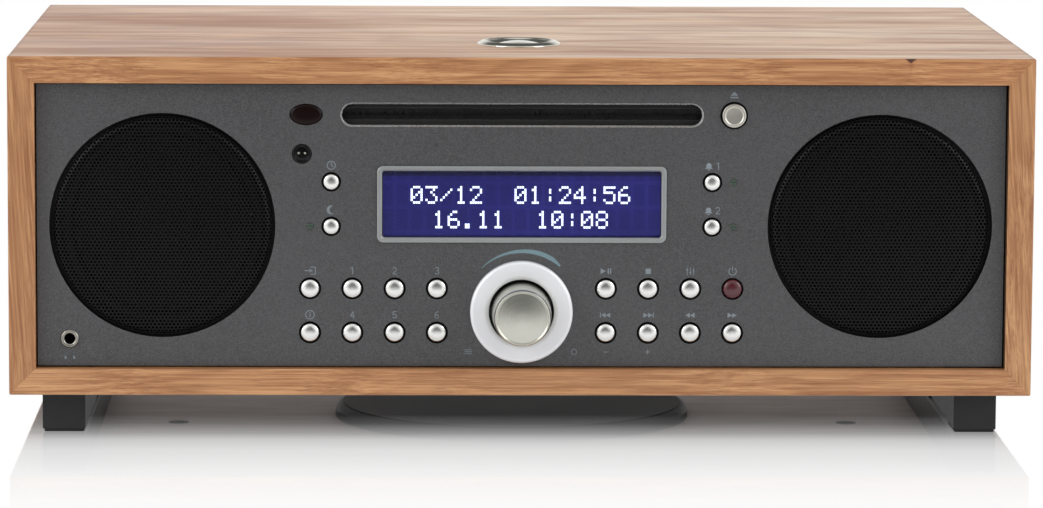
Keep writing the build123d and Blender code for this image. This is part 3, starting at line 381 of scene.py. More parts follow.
def clear_cover():
    """Thin acrylic window: a clear sheet with a faint tint, that stays see-through."""
    s = Shader("display_window")
    smear = s.noise(s.place(), 0.06, 3.0)
    rough = s.ramp(smear, (0.3, 0.02), (0.8, 0.07))
    shine = s.node("BsdfGlossy", {"Color": (0.9, 0.93, 1.0, 1), "Roughness": rough})
    clear = s.node("BsdfTransparent", {"Color": (0.96, 0.97, 1.0, 1)})
    edge = s.math("MULTIPLY", s.node("Fresnel", {"IOR": 1.45}), 0.22)
    s.end(s.node("MixShader", {0: edge, 1: clear, 2: shine}))
    return s.material


def display_blue(cell_width, line_height, origin, top):
    """Back-lit blue display glass with faint character cells, shaded under its upper edge."""
    s = Shader("display_glass")
    place = s.axes(s.place())
    column = s.math("MULTIPLY", s.math("SUBTRACT", place[0], origin.x / MM), MM / cell_width)
    line = s.math("MULTIPLY", s.math("SUBTRACT", place[2], origin.z / MM), MM / line_height)
    in_column = s.ramp(s.math("FRACT", column), (0.0, 0.0), (0.05, 0.0), (0.07, 1.0), (0.80, 1.0), (0.82, 0.0))
    in_line = s.ramp(s.math("FRACT", line), (0.0, 0.0), (0.06, 0.0), (0.09, 1.0), (0.91, 1.0), (0.94, 0.0))
    glow = s.noise(s.place(), 0.022, 2.0)
    base = s.mix(s.ramp(glow, (0.3, 0.0), (0.75, 1.0)), srgb(26, 24, 86), srgb(36, 34, 107))
    base = s.mix(s.product(in_column, in_line, 0.4), base, srgb(18, 14, 74))
    shade = s.step(place[2], top / MM - 2.4, top / MM - 1.2)
    base = s.mix(s.math("MULTIPLY", shade, 0.75), base, srgb(8, 8, 24))
    return s.finish(Base_Color=base, Roughness=0.25, Emission_Color=base, Emission_Strength=0.42)


def glowing(name, colour, strength):
    """Lit dots of the display."""
    s = Shader(name)
    ripple = s.noise(s.place(), 0.4, 2.0)
    lit = s.mix(s.ramp(ripple, (0.3, 0.0), (0.8, 0.35)), colour, tuple(0.86 * c for c in colour[:3]) + (1.0,))
    return s.finish(Base_Color=lit, Roughness=0.5, Emission_Color=lit, Emission_Strength=strength)


def tinted_lens(name, dark, tint, roughness=0.08, coat=0.6, specular=0.5):
    """Deep-coloured plastic lens: nearly opaque, tinted towards its rim."""
    s = Shader(name)
    rim = s.node("LayerWeight", {"Blend": 0.35}, out=1)
    cloud = s.noise(s.place(), 0.5, 3.0)
    colour = s.mix(s.ramp(rim, (0.1, 0.0), (0.7, 1.0)), dark, tint)
    colour = s.mix(s.math("MULTIPLY", cloud, 0.25), colour, dark)
    return s.finish(
        Base_Color=colour, Roughness=roughness, Coat_Weight=coat, Coat_Roughness=0.04, Normal=s.bump(cloud, 0.02, 0.2),
        Specular_IOR_Level=specular,
    )


MATERIALS = {
    "cherry_x": cherry("cherry_grain_across", GRAIN_X, knot=(135.5, CASE_TOP / MM)),
    "cherry_top": cherry("cherry_top_board", GRAIN_X, coarse=9.0),
    "cherry_z": cherry("cherry_grain_upright", GRAIN_Z, turn=(0, 4, 0), shade=0.92),
    # Painted light: a brightened copy of the cherry paints a highlight on the left reveal, and a darkened copy paints
    # shade on the right reveal.
    "reveal_painted_highlight": cherry("cherry_reveal_painted_highlight", GRAIN_Z, shade=1.5),
    "reveal_painted_shade": cherry("cherry_reveal_painted_shade", GRAIN_Z, shade=0.25),
    "underside": underside_wood(),
    "raw_wood": raw_wood(),
    "panel": flaked_paint("panel_paint", srgb(68, 68, 69), srgb(95, 95, 97), 0.42, 0.5, 0.25),
    "bezel": flaked_paint("bezel_paint", srgb(162, 165, 165), srgb(170, 173, 173), 0.34, 0.75),
    "trim": flaked_paint("trim_paint", srgb(200, 202, 202), srgb(216, 218, 218), 0.26, 0.85),
    "grille": fine_plastic("grille_black", srgb(9, 9, 10), 0.38, 0.5, 0.01, 0.0, 0.2),
    # The black moulding material also serves as painted shade on faces in gaps and holes.
    "black": fine_plastic("black_moulding_and_painted_shade", srgb(18, 18, 19), 0.5, 0.3, 0.03, 0.0, 0.35),
    "foot_black": fine_plastic("foot_black", srgb(27, 28, 30), 0.42, 0.35, 0.03, 0.0, 0.35),
    "rubber": fine_plastic("rubber", srgb(20, 20, 20), 0.8, 0.6, 0.05),
    "red_insert": fine_plastic("red_insert", srgb(150, 22, 20), 0.35, 0.5, 0.01, 0.3),
    "white_insert": fine_plastic("white_insert", srgb(216, 214, 206), 0.35, 0.5, 0.01, 0.3),
    "coil_tape": fine_plastic("coil_tape", srgb(196, 160, 60), 0.45, 0.2, 0.02, 0.2),
    "capacitor": fine_plastic("capacitor_sleeve", srgb(22, 30, 58), 0.3, 0.3, 0.01, 0.3),
    "ink": fine_plastic("print_ink", srgb(116, 125, 131), 0.6, 1.2, 0.004),
    "arc_ink": fine_plastic("arc_ink", srgb(104, 129, 136), 0.5, 1.2, 0.004),
    "ring": turned_metal("ring_silver", srgb(246, 247, 251), 0.38, 1.6, 0.5, 0.012, 0.35, 0.25),
    "knob": turned_metal("knob_nickel", srgb(210, 210, 200), 0.22, 1.0, 0.4, 0.003),
    "button": turned_metal("button_silver", srgb(244, 244, 241), 0.19, 2.0, 0.3, 0.002),
    "eject": turned_metal("eject_silver", srgb(200, 197, 188), 0.3, 2.4, 0.4, 0.006),
    "chrome": turned_metal("polished_chrome", srgb(222, 220, 208), 0.12, 1.0, 0.2, 0.002),
    "nickel": plain_metal("nickel_plate", srgb(160, 158, 150), 0.24),
    "steel": plain_metal("zinc_steel", srgb(158, 160, 162), 0.34),
    "dark_steel": plain_metal("blackened_steel", srgb(60, 60, 62), 0.45),
    "magnet": plain_metal("ferrite", srgb(52, 52, 54), 0.6, 0.8, 0.05),
    "felt": felt_pile("slot_felt", srgb(16, 16, 16)),
    "cloth": grille_cloth(),
    "paper": pressed_paper("cone_paper", srgb(26, 26, 27)),
    "board": circuit_green("circuit_board"),
    "window": clear_cover(),
    "lit": glowing("display_dots", srgb(232, 238, 255), 1.05),
    "ir": tinted_lens("remote_window", srgb(20, 9, 8), srgb(62, 28, 24), 0.2, 0.0, 0.15),
    "sensor": tinted_lens("sensor_lens", srgb(6, 6, 7), srgb(12, 12, 14), 0.12, 0.0, 0.3),
    "lamp": tinted_lens("lamp_green", srgb(22, 56, 36), srgb(36, 96, 58), 0.2),
    "power": tinted_lens("power_red", srgb(74, 20, 30), srgb(106, 38, 50), 0.22),
    "lens_glass": tinted_lens("laser_lens", srgb(40, 30, 70), srgb(90, 90, 160)),
}


# ---------------------------------------------------------------- meshes

def piece(name, vertices, faces, material, body, place=None, slot=None, replaces=()):
    """Makes a mesh object that rides on a body."""
    mesh = bpy.data.meshes.new(name)
    mesh.from_pydata([tuple(v) for v in vertices], [], faces)
    mesh.validate()
    mesh.shade_smooth()
    mesh.set_sharp_from_angle(angle=SMOOTH_ANGLE)
    mesh.materials.append(MATERIALS[material])
    made = bpy.data.objects.new(name, mesh)
    bpy.context.scene.collection.objects.link(made)
    if place is not None:
        made.matrix_world = place
    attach(made, body)
    if replaces:
        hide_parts(*replaces)
    return made


def darken_beyond(made, depth):
    """Gives the faces of a piece behind a depth along local Z the black material, as painted shade in the gap where the
    piece sits.
    """
    mesh = made.data
    mesh.materials.append(MATERIALS["black"])
    for polygon in mesh.polygons:
        polygon.material_index = int(polygon.center.z < depth * MM)


def at(point, facing=FACING_FRONT):
    """Matrix that puts local origin at a point with local +Z along the way it faces."""
    return Matrix.Translation(point) @ facing


def rounded(points, steps=5):
    """A profile with some corners rounded: points are (radius, height) or (radius, height, round)."""
    path = []
    for i, point in enumerate(points):
        here = Vector(point[:2])
        if len(point) < 3 or not 0 < i < len(points) - 1:
            path.append(here)
            continue
        before = (Vector(points[i - 1][:2]) - here)
        after = (Vector(points[i + 1][:2]) - here)
        reach = min(point[2], before.length * 0.49, after.length * 0.49)
        start, end = here + before.normalized() * reach, here + after.normalized() * reach
        for k in range(steps + 1):
            t = k / steps
            path.append(start * (1 - t) ** 2 + here * 2 * t * (1 - t) + end * t**2)
    return path


def lathe(profile, segments=96, closed=False):
    """Vertices and faces of a solid of revolution about local Z, in metres, from millimetres."""
    vertices, rings = [], []
    for radius, height in profile:
        if radius < 1e-6:
            rings.append([len(vertices)])
            vertices.append((0, 0, height * MM))
            continue
        rings.append(list(range(len(vertices), len(vertices) + segments)))
        for k in range(segments):
            angle = 2 * math.pi * k / segments
            vertices.append((radius * math.cos(angle) * MM, radius * math.sin(angle) * MM, height * MM))
    faces = []
    pairs = list(zip(rings, rings[1:]))
    if closed:
        pairs.append((rings[-1], rings[0]))
    for first, second in pairs:
        for k in range(segments):
            n = (k + 1) % segments
            corners = [first[k % len(first)], first[n % len(first)], second[n % len(second)], second[k % len(second)]]
            unique = list(dict.fromkeys(corners))
            if len(unique) > 2:
                faces.append(tuple(unique))
    return vertices, faces


def merge(*parts):
    """Joins several (vertices, faces) into one."""
    vertices, faces = [], []
    for some_vertices, some_faces in parts:
        base = len(vertices)
        vertices += list(some_vertices)
        faces += [tuple(base + i for i in face) for face in some_faces]
    return vertices, faces


def shifted(part, offset):
    """The same mesh moved by an offset."""
    vertices, faces = part
    return [tuple(Vector(v) + Vector(offset)) for v in vertices], faces


def plate(outline, low, high):
    """A prism from a flat outline of (x, y) in millimetres, anticlockwise, between two heights."""
    count = len(outline)
    vertices = [(x * MM, y * MM, low * MM) for x, y in outline] + [(x * MM, y * MM, high * MM) for x, y in outline]
    faces = [tuple(reversed(range(count))), tuple(range(count, 2 * count))]
    for k in range(count):
        n = (k + 1) % count
        faces.append((k, n, count + n, count + k))
    return vertices, faces


# ---------------------------------------------------------------- flat drawings for the printing

def ribbon(points, width, closed=False):
    """Quadrilaterals that draw a line of the given width through the points."""
    shapes = []
    ordered = list(points) + ([points[0]] if closed else [])
    for first, second in zip(ordered, ordered[1:]):
        a, b = Vector(first), Vector(second)
        along = (b - a).normalized() * width / 2
        side = Vector((-along.y, along.x))
        shapes.append([a - side - along * 0.6, b - side + along * 0.6, b + side + along * 0.6, a + side - along * 0.6])
    return shapes


def arc(middle, radius, start, end, steps=20):
    """Points on a circle between two angles in degrees."""
    points = []
    for k in range(steps + 1):
        angle = math.radians(start + (end - start) * k / steps)
        points.append((middle[0] + radius * math.cos(angle), middle[1] + radius * math.sin(angle)))
    return points


def band(outer, inner):
    """Quadrilaterals between two matching lists of points."""
    return [[inner[k], outer[k], outer[k + 1], inner[k + 1]] for k in range(len(outer) - 1)]


def ring_shape(middle, radius, width, start=0, end=360, steps=24):
    """Part of a ring, as quadrilaterals."""
    outer = arc(middle, radius + width / 2, start, end, steps)
    return band(outer, arc(middle, radius - width / 2, start, end, steps))


def box_shape(x, y, width, height):
    """A rectangle about a centre."""
    return [[(x - width / 2, y - height / 2), (x + width / 2, y - height / 2),
             (x + width / 2, y + height / 2), (x - width / 2, y + height / 2)]]


def pointer(x, y, size, direction):
    """A filled triangle pointing right (1) or left (-1)."""
    tip, tail = x + direction * size * 0.45, x - direction * size * 0.45
    corners = [(tail, y - size / 2), (tip, y), (tail, y + size / 2)]
    return [corners if direction > 0 else corners[::-1]]


LINE = 0.24
DIGIT_STROKES = {
    "1": [[(-0.35, 0.65), (0.1, 1.0), (0.1, -1.0)]],
    "2": [[(-0.55, 0.6), (-0.3, 0.95), (0.3, 0.95), (0.55, 0.55), (0.45, 0.1), (-0.6, -0.95), (0.6, -0.95)]],
    "3": [[(-0.5, 0.8), (-0.1, 1.0), (0.35, 0.9), (0.5, 0.5), (0.3, 0.1), (-0.1, 0.05)],
          [(0.3, 0.1), (0.55, -0.3), (0.45, -0.8), (0.0, -1.0), (-0.5, -0.75)]],
    "4": [[(0.3, -1.0), (0.3, 1.0), (-0.6, -0.4), (0.65, -0.4)]],
    "5": [[(0.5, 0.95), (-0.4, 0.95), (-0.5, 0.1), (0.1, 0.2), (0.5, -0.1), (0.5, -0.6), (0.1, -1.0), (-0.5, -0.8)]],
    "6": [[(0.4, 0.9), (0.0, 0.9), (-0.45, 0.4), (-0.55, -0.3), (-0.4, -0.8), (0.0, -1.0), (0.4, -0.8), (0.5, -0.35),
           (0.2, 0.05), (-0.2, 0.05), (-0.5, -0.3)]],
}


def digit(x, y, character, half=0.95):
    """A printed figure about a centre."""
    shapes = []
    for stroke in DIGIT_STROKES[character]:
        shapes += ribbon([(x + px * half, y + py * half) for px, py in stroke], LINE)
    return shapes


def clock_sign(x, y):
    """Clock face with two hands."""
    return ring_shape((x, y), 1.15, LINE) + ribbon([(x, y + 0.75), (x, y), (x + 0.5, y - 0.3)], LINE)


def moon_sign(x, y):
    """Crescent moon."""
    outer = arc((x, y), 1.25, 60, 300, 22)
    inner = arc((x + 0.62, y), 1.09, 84, 276, 22)
    return band(outer, inner)


def bell_sign(x, y):
    """Bell with a clapper."""
    cup = arc((x, y + 0.15), 0.72, 0, 180, 12)
    body = [(x + 0.72, y - 0.5), *cup, (x - 0.72, y - 0.5)]
    return [body] + box_shape(x, y - 0.62, 2.0, 0.28) + box_shape(x, y - 1.05, 0.55, 0.3)


def source_sign(x, y):
    """Arrow into an open box."""
    frame_line = ribbon([(x + 0.2, y + 1.0), (x + 1.5, y + 1.0), (x + 1.5, y - 1.0), (x + 0.2, y - 1.0)], LINE)
    return frame_line + ribbon([(x - 1.5, y), (x + 0.2, y)], LINE) + pointer(x + 0.35, y, 1.1, 1)


def info_sign(x, y):
    """Small i in a circle."""
    return ring_shape((x, y), 1.2, LINE) + box_shape(x, y - 0.2, 0.26, 0.95) + box_shape(x, y + 0.58, 0.28, 0.28)


def play_sign(x, y):
    """Play and pause."""
    return pointer(x - 0.8, y, 1.6, 1) + box_shape(x + 0.65, y, 0.32, 1.6) + box_shape(x + 1.3, y, 0.32, 1.6)


def stop_sign(x, y):
    """Stop."""
    return box_shape(x, y, 1.5, 1.5)


def sliders_sign(x, y):
    """Three level sliders."""
    shapes = []
    for offset, knob in ((-0.9, 0.4), (0.0, -0.4), (0.9, 0.15)):
        shapes += box_shape(x + offset, y, 0.2, 2.1) + box_shape(x + offset, y + knob, 0.62, 0.36)
    return shapes


def power_sign(x, y):
    """Broken ring with an upright line."""
    return ring_shape((x, y), 1.05, LINE, 125, 415) + box_shape(x, y + 0.75, 0.24, 1.15)


def skip_sign(direction, bar):
    """Double arrow, with a bar for track skip."""
    def draw(x, y):
        shapes = pointer(x - 0.65, y, 1.4, direction) + pointer(x + 0.65, y, 1.4, direction)
        return shapes + (box_shape(x + direction * 1.5, y, 0.28, 1.4) if bar else [])
    return draw


def eject_sign(x, y):
    """Triangle over a bar."""
    return [[(x - 1.1, y - 0.15), (x + 1.1, y - 0.15), (x, y + 1.0)]] + box_shape(x, y - 0.7, 2.2, 0.4)


def headphone_sign(x, y):
    """Head band with two ear cups."""
    return ribbon(arc((x, y - 0.2), 1.25, 180, 0, 16), LINE) + box_shape(x - 1.2, y - 0.55, 0.5, 1.0) + box_shape(x + 1.2, y - 0.55, 0.5, 1.0)


def labelled_digit(character):
    """A figure on its own."""
    return lambda x, y: digit(x, y, character)


def labelled_bell(character):
    """A bell and a figure."""
    return lambda x, y: bell_sign(x - 1.0, y) + digit(x + 1.6, y, character)


SIGNS = {
    "eject": eject_sign, "clock": clock_sign, "sleep": moon_sign, "alarm_1": labelled_bell("1"), "alarm_2": labelled_bell("2"),
    "source": source_sign, "info": info_sign, "play": play_sign, "stop": stop_sign, "audio": sliders_sign,
    "power": power_sign, "previous": skip_sign(-1, True), "next": skip_sign(1, True), "rewind": skip_sign(-1, False),
    "forward": skip_sign(1, False), **{f"preset_{n}": labelled_digit(str(n)) for n in range(1, 7)},
}
INK_THICK = 0.03


def printed(name, shapes, material):
    """Ink laid on the front panel: shapes are outlines of (x, z) in millimetres."""
    parts = []
    for shape in shapes:
        points = [tuple(p) for p in shape]
        area = sum(a[0] * b[1] - b[0] * a[1] for a, b in zip(points, points[1:] + points[:1]))
        parts.append(plate(points if area > 0 else points[::-1], -0.002, INK_THICK))
    vertices, faces = merge(*parts)
    return piece(name, vertices, faces, material, "case", at((0, PANEL_Y, 0)), "panel_paint")


SIGN_SCALE = 1.25


def scaled_sign(draw, x, z):
    """A sign drawn about a point on the panel at the printing's own scale."""
    return [[(x + px * SIGN_SCALE, z + pz * SIGN_SCALE) for px, pz in shape] for shape in draw(0, 0)]


def panel_printing():
    """Signs above the buttons, and the small marks beside the knob."""
    shapes = []
    for name, draw in SIGNS.items():
        low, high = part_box("button_" + name)
        middle = (low + high) / 2 / MM
        gap = (high.z - low.z) / 2 / MM + 1.95
        shapes += scaled_sign(draw, middle.x, middle.z + gap)
    jack = centre("headphone_jack") / MM
    shapes += scaled_sign(headphone_sign, jack.x, jack.z - 5.9)
    knob = centre("knob_ring") / MM
    under = knob.z - 14.3
    play, stop = centre("button_play") / MM, centre("button_stop") / MM
    shapes += box_shape(play.x, under, 1.6, LINE)
    shapes += box_shape(stop.x, under, 1.6, LINE) + box_shape(stop.x, under, LINE, 1.6)
    for offset in (-0.7, 0.0, 0.7):
        shapes += box_shape(knob.x - 18.6, under + offset, 2.6, 0.24)
    shapes += ring_shape((knob.x + 18.6, under), 0.95, LINE)
    return printed("panel_signs", shapes, "ink")


def volume_arc():
    """Tapered arc above the knob: a point at the left, thickest two thirds of the way round."""
    knob = centre("knob_ring") / MM
    steps, inner_radius = 40, 20.7
    outer, inner = [], []
    for k in range(steps + 1):
        share = k / steps
        angle = math.radians(132 - 82 * share)
        width = 0.2 + 1.35 * min(1.0, share * 1.5, (1.0 - share) * 5.0 + 0.35)
        for points, radius in ((inner, inner_radius), (outer, inner_radius + width)):
            points.append((knob.x + radius * math.cos(angle), knob.z + radius * math.sin(angle)))
    return printed("volume_arc", band(outer, inner), "arc_ink")


# ---------------------------------------------------------------- grilles

HOLE_PITCH, HOLE_RADIUS = 1.34, 0.49
SHEET = 0.6


EDGE_ROLL, EDGE_TURN = 2.4, 1.35  # radius and angle of the sheet's rolled edge
DOME_RISE = 0.7


def on_sheet(x, y, flat_radius, drop):
    """The place on the pressed sheet of a point of the flat blank; drop goes down through the metal."""
    radius = math.hypot(x, y)
    if radius <= flat_radius:
        return x, y, DOME_RISE * (1 - (radius / flat_radius) ** 2) - drop
    angle = (radius - flat_radius) / EDGE_ROLL
    reach = EDGE_ROLL - drop
    spread = (flat_radius + reach * math.sin(angle)) / radius
    return x * spread, y * spread, reach * math.cos(angle) - EDGE_ROLL


def perforated_sheet(flat_radius):
    """A domed sheet of staggered round holes with its edge rolled back, in millimetres."""
    blank = flat_radius + EDGE_ROLL * EDGE_TURN
    corner = HOLE_PITCH / math.sqrt(3)
    border = [(corner * math.cos(math.radians(30 + 60 * k)), corner * math.sin(math.radians(30 + 60 * k)))
              for k in range(6)]
    circle = arc((0, 0), HOLE_RADIUS, 30, 390, 12)[:12]
    vertices, faces, seen, edges = [], [], {}, {}

    def vertex(x, y, drop):
        key = (round(x * 500), round(y * 500), drop)
        if key not in seen:
            seen[key] = len(vertices)
            vertices.append(tuple(value * MM for value in on_sheet(x, y, flat_radius, drop)))
        return seen[key]

    rows = int(blank / HOLE_PITCH * 1.2) + 1
    for row in range(-rows, rows + 1):
        for column in range(-rows, rows + 1):
            x = HOLE_PITCH * (column + 0.5 * (row % 2))
            y = HOLE_PITCH * math.sqrt(3) / 2 * row
            if math.hypot(x, y) > blank:
                continue
            for drop in (0.0, SHEET):
                outer = [vertex(x + px, y + py, drop) for px, py in border]
                inner = [vertex(x + px, y + py, drop) for px, py in circle]
                for k in range(6):
                    n = (k + 1) % 6
                    face = (outer[k], outer[n], inner[2 * n], inner[2 * k + 1], inner[2 * k])
                    faces.append(tuple(reversed(face)) if drop else face)
                if not drop:
                    top_outer, top_inner = outer, inner
            for k in range(12):
                n = (k + 1) % 12
                faces.append((top_inner[k], top_inner[n], inner[n], inner[k]))
            for k in range(6):
                n = (k + 1) % 6
                edge = frozenset((top_outer[k], top_outer[n]))
                if edge in edges:
                    del edges[edge]
                else:
                    edges[edge] = (top_outer[n], top_outer[k], outer[k], outer[n])
    return vertices, faces + list(edges.values())


def speaker_grille(side, name):
    """Perforated dome with a rolled edge, and the plain collar and flange behind it."""
    low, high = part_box("speaker_grilles")
    span = (high.z - low.z) / 2
    place = at(((high.x - span) * side, PANEL_Y, (low.z + high.z) / 2))
    rim = span / MM - 2.6
    front, back = (PANEL_Y - low.y) / MM, (high.y - PANEL_Y) / MM
    level = front - DOME_RISE - 0.02
    sheet = shifted(perforated_sheet(rim - EDGE_ROLL - 0.06), (0, 0, level * MM))
    piece(name, *sheet, "grille", "case", place, "grille_paint", ["speaker_grilles"])
    collar = rounded([
        (rim - 0.75, level - 1.7), (rim, level - 1.7, 0.3), (rim, -back + 0.8), (rim + 2.6, -back + 0.8),
        (rim + 2.6, -back), (rim - 0.75, -back)], 6)
    piece(name + "_collar", *lathe(collar, 160, closed=True), "grille", "case", place, "grille_paint",
          ["speaker_grilles"])


# ---------------------------------------------------------------- disc slot

def stadium_points(width, height, steps=20):
    """Outline of a slot with round ends, anticlockwise from its lower right, in millimetres."""
    radius, reach = height / 2, (width - height) / 2
    right = arc((reach, 0), radius, -90, 90, steps)
    left = arc((-reach, 0), radius, 90, 270, steps)
    return right + left


SLOT_WIDTH, SLOT_HEIGHT, SLOT_CHAMFER = 126.0, 7.3, 0.5


def slot_middle():
    """Centre of the disc slot on the panel's face."""
    felt = centre("slot_felt")
    return Vector((felt.x, PANEL_Y, felt.z))


def slot_trim():
    """Bright chamfer round the disc slot."""
    skin = 0.03
    sections = [(2 * SLOT_CHAMFER + 0.1, skin), (2 * SLOT_CHAMFER - 0.1, skin), (0.0, -SLOT_CHAMFER + skin),
                (-0.06, -SLOT_CHAMFER - 0.4), (0.0, -SLOT_CHAMFER - 0.4), (0.0, -SLOT_CHAMFER),
                (2 * SLOT_CHAMFER, 0.0)]
    vertices, faces = [], []
    loops = []
    for grow, height in sections:
        outline = stadium_points(SLOT_WIDTH + grow, SLOT_HEIGHT + grow)
        loops.append(list(range(len(vertices), len(vertices) + len(outline))))
        vertices += [(x * MM, y * MM, height * MM) for x, y in outline]
    for first, second in zip(loops, loops[1:] + loops[:1]):
        count = len(first)
        for k in range(count):
            n = (k + 1) % count
            faces.append((first[k], first[n], second[n], second[k]))
    return piece("slot_trim", vertices, faces, "trim", "case", at(slot_middle()), "panel_paint")


def needle(root, tip, width):
    """A thin three-sided fibre."""
    root, tip = Vector(root), Vector(tip)
    along = (tip - root).normalized()
    side = along.cross(Vector((0, 0, 1)) if abs(along.z) < 0.9 else Vector((1, 0, 0))).normalized() * width
    other = along.cross(side).normalized() * width
    corners = [root + side, root - side * 0.5 + other * 0.87, root - side * 0.5 - other * 0.87, tip]
    return [tuple(c) for c in corners], [(0, 1, 3), (1, 2, 3), (2, 0, 3), (0, 2, 1)]


def felt_strip(name, side):
    """Pile strip on one lip of the slot: an uneven pad with short fibres that close the gap."""
    low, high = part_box("slot_felt")
    middle = (low.z + high.z) / 2
    outer = high.z if side > 0 else low.z
    inner = middle + side * 1.9 * MM
    columns, rows = 160, 8
    vertices, faces = [], []
    for i in range(columns + 1):
        x = low.x + (high.x - low.x) * i / columns
        for j in range(rows):
            angle = math.pi * j / (rows - 1)
            bulge = 0.15 * MM * rng.random()
            depth = (high.y - low.y) / 2
            y = (low.y + high.y) / 2 - math.cos(angle) * (depth - bulge)
            z = inner + side * (0.5 * MM - math.sin(angle) * (0.6 * MM - bulge))
            vertices.append((x, y, z))
        vertices.append((x, high.y, outer))
        vertices.append((x, low.y, outer))
    ring = rows + 2
    for i in range(columns):
        for j in range(ring):
            n = (j + 1) % ring
            faces.append((i * ring + j, (i + 1) * ring + j, (i + 1) * ring + n, i * ring + n))
    faces.append(tuple(reversed(range(ring))))
    faces.append(tuple(range(columns * ring, columns * ring + ring)))
    parts = [(vertices, faces)]
    for _ in range(4200):
        x = rng.uniform(low.x + 0.5 * MM, high.x - 0.5 * MM)
        y = rng.uniform(low.y + 0.3 * MM, high.y - 0.3 * MM)
        reach = rng.uniform(1.5, 2.6) * MM
        tip = (x + rng.uniform(-0.4, 0.4) * MM, y + rng.uniform(-0.4, 0.4) * MM, inner - side * reach)
        parts.append(needle((x, y, inner + side * 0.2 * MM), tip, 0.09 * MM))
    vertices, faces = merge(*parts)
    return piece(name, vertices, faces, "felt", "case", None, "felt", ["slot_felt"])


# ---------------------------------------------------------------- display

GLYPHS = {
    "0": ".###. #...# #..## #.#.# ##..# #...# .###.",
    "1": "..#.. .##.. ..#.. ..#.. ..#.. ..#.. .###.",
    "2": ".###. #...# ....# ...#. ..#.. .#... #####",
    "3": "##### ...#. ..#.. ...#. ....# #...# .###.",
    "4": "...#. ..##. .#.#. #..#. ##### ...#. ...#.",
    "5": "##### #.... ####. ....# ....# #...# .###.",
    "6": "..##. .#... #.... ####. #...# #...# .###.",
    "8": ".###. #...# #...# .###. #...# #...# .###.",
    ":": "..... ..#.. ..#.. ..... ..#.. ..#.. .....",
    ".": "..... ..... ..... ..... ..... .##.. .##..",
    "/": "..... ....# ...#. ..#.. .#... #.... .....",
}
CELL_WIDTH, DOT_WIDTH, DOT_HEIGHT = 5.2 * MM, 0.86 * MM, 0.90 * MM
LINE_HEIGHT = 8.7 * MM
UPPER_LINE = 3.1 * MM  # above the display's centre


def display_characters():
    """Two lines of lit dots: figures only, a track with its time, and a date with the time."""
    middle = centre("display_window")
    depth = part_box("display_module")[0].y - PANEL_Y
    parts = []
    lines = (("03/12  01:24:56", UPPER_LINE), ("16.11  10:08", UPPER_LINE - LINE_HEIGHT))
    for text, height in lines:
        left = -CELL_WIDTH * len(text) / 2
        for k, character in enumerate(text):
            if character == " ":
                continue
            for row, dots in enumerate(GLYPHS[character].split()):
                for column, dot in enumerate(dots):
                    if dot == "#":
                        x = middle.x + left + k * CELL_WIDTH + (column + 0.5) * DOT_WIDTH
                        z = middle.z + height + (3 - row) * DOT_HEIGHT
                        shape = box_shape(x / MM, z / MM, DOT_WIDTH * 0.84 / MM, DOT_HEIGHT * 0.88 / MM)
                        parts.append(plate(shape[0], 0, 0.06))
    vertices, faces = merge(*parts)
    return piece("display_characters", vertices, faces, "lit", "case", at((0, PANEL_Y + depth, 0)), "display_glass")


# ---------------------------------------------------------------- knob, rings and buttons

def knob_ring():
    """Bright ring round the volume knob: a nearly flat face between rounded lips, bevelled at the hole."""
    low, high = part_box("knob_ring")
    radius = (high.x - low.x) / 2 / MM
    proud = (PANEL_Y - low.y) / MM
    back = (high.y - PANEL_Y) / MM
    hole = 11.4
    profile = rounded([
        (hole, -back), (hole, proud - 1.6, 0.2), (hole + 0.35, proud - 1.1, 0.3), (hole + 1.3, proud - 0.42, 0.4),
        (radius - 1.7, proud - 0.1, 0.4), (radius - 0.9, proud, 0.5), (radius, proud - 0.5, 0.55), (radius, 0),
        (hole + 0.8, 0), (hole + 0.8, -back)], 8)
    middle = centre("knob_ring")
    place = at((middle.x, PANEL_Y, middle.z))
    turned = lathe(profile, 192, closed=True)
    made = piece("knob_ring_turned", *turned, "ring", "case", place, "satin_nickel", ["knob_ring"])
    # Painted shade: the ring's faces more than 0.4 mm behind the panel face are black, for the gap round the knob.
    darken_beyond(made, -0.4)


def volume_knob():
    """Tapered hollow knob with a bright rounded rim and a slightly crowned face."""
    low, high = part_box("volume_knob")
    face = (PANEL_Y - low.y) / MM
    back = (high.y - PANEL_Y) / MM
    rear = (high.x - low.x) / 2 / MM
    front = rear - 0.7
    inner = front - 1.15
    profile = rounded([
        (0, face - 0.05), (inner * 0.3, face - 0.10, 1.5), (inner * 0.65, face - 0.32, 2.0),
        (inner, face - 0.72, 0.25), (inner + 0.3, face - 0.1, 0.2),
        (front - 0.5, face, 0.3), (front, face - 0.9, 0.8), (rear, -back, 0.4), (rear - 1.6, -back, 0.3),
        (front - 1.6, face - 4), (5, face - 4), (5, 3 - back), (3, 3 - back), (3, face - 5), (0, face - 5)], 8)
    middle = centre("volume_knob")
    place = at((middle.x, PANEL_Y, middle.z))
    return piece("volume_knob_turned", *lathe(profile, 192), "knob", "knob", place, "satin_nickel", ["volume_knob"])


def cap_profile(name, radius, face, reach):
    """Profile of a push button: its face, skirt, flange, stem and the plunger below it."""
    skirt = -3.2
    tail = [(radius, skirt), (radius + 1.0, skirt), (radius + 1.0, skirt - 1.0), (1.6, skirt - 1.0), (1.6, -reach),
            (0, -reach)]
    if name == "eject":
        head = [(0, face - 0.42), (radius - 1.25, face - 0.34, 0.3), (radius - 0.85, face - 0.02, 0.3),
                (radius - 0.1, face - 0.15, 0.3), (radius, face - 0.8, 0.3)]
    else:
        head = [(0, face)]
        for k in range(1, 9):
            turn = k / 8 * math.pi / 2
            head.append((radius * 0.97 * math.sin(turn) ** 0.9, face - 1.0 * (1 - math.cos(turn)) ** 1.1))
        head.append((radius, face - 1.25))
    return rounded(head + tail, 6)


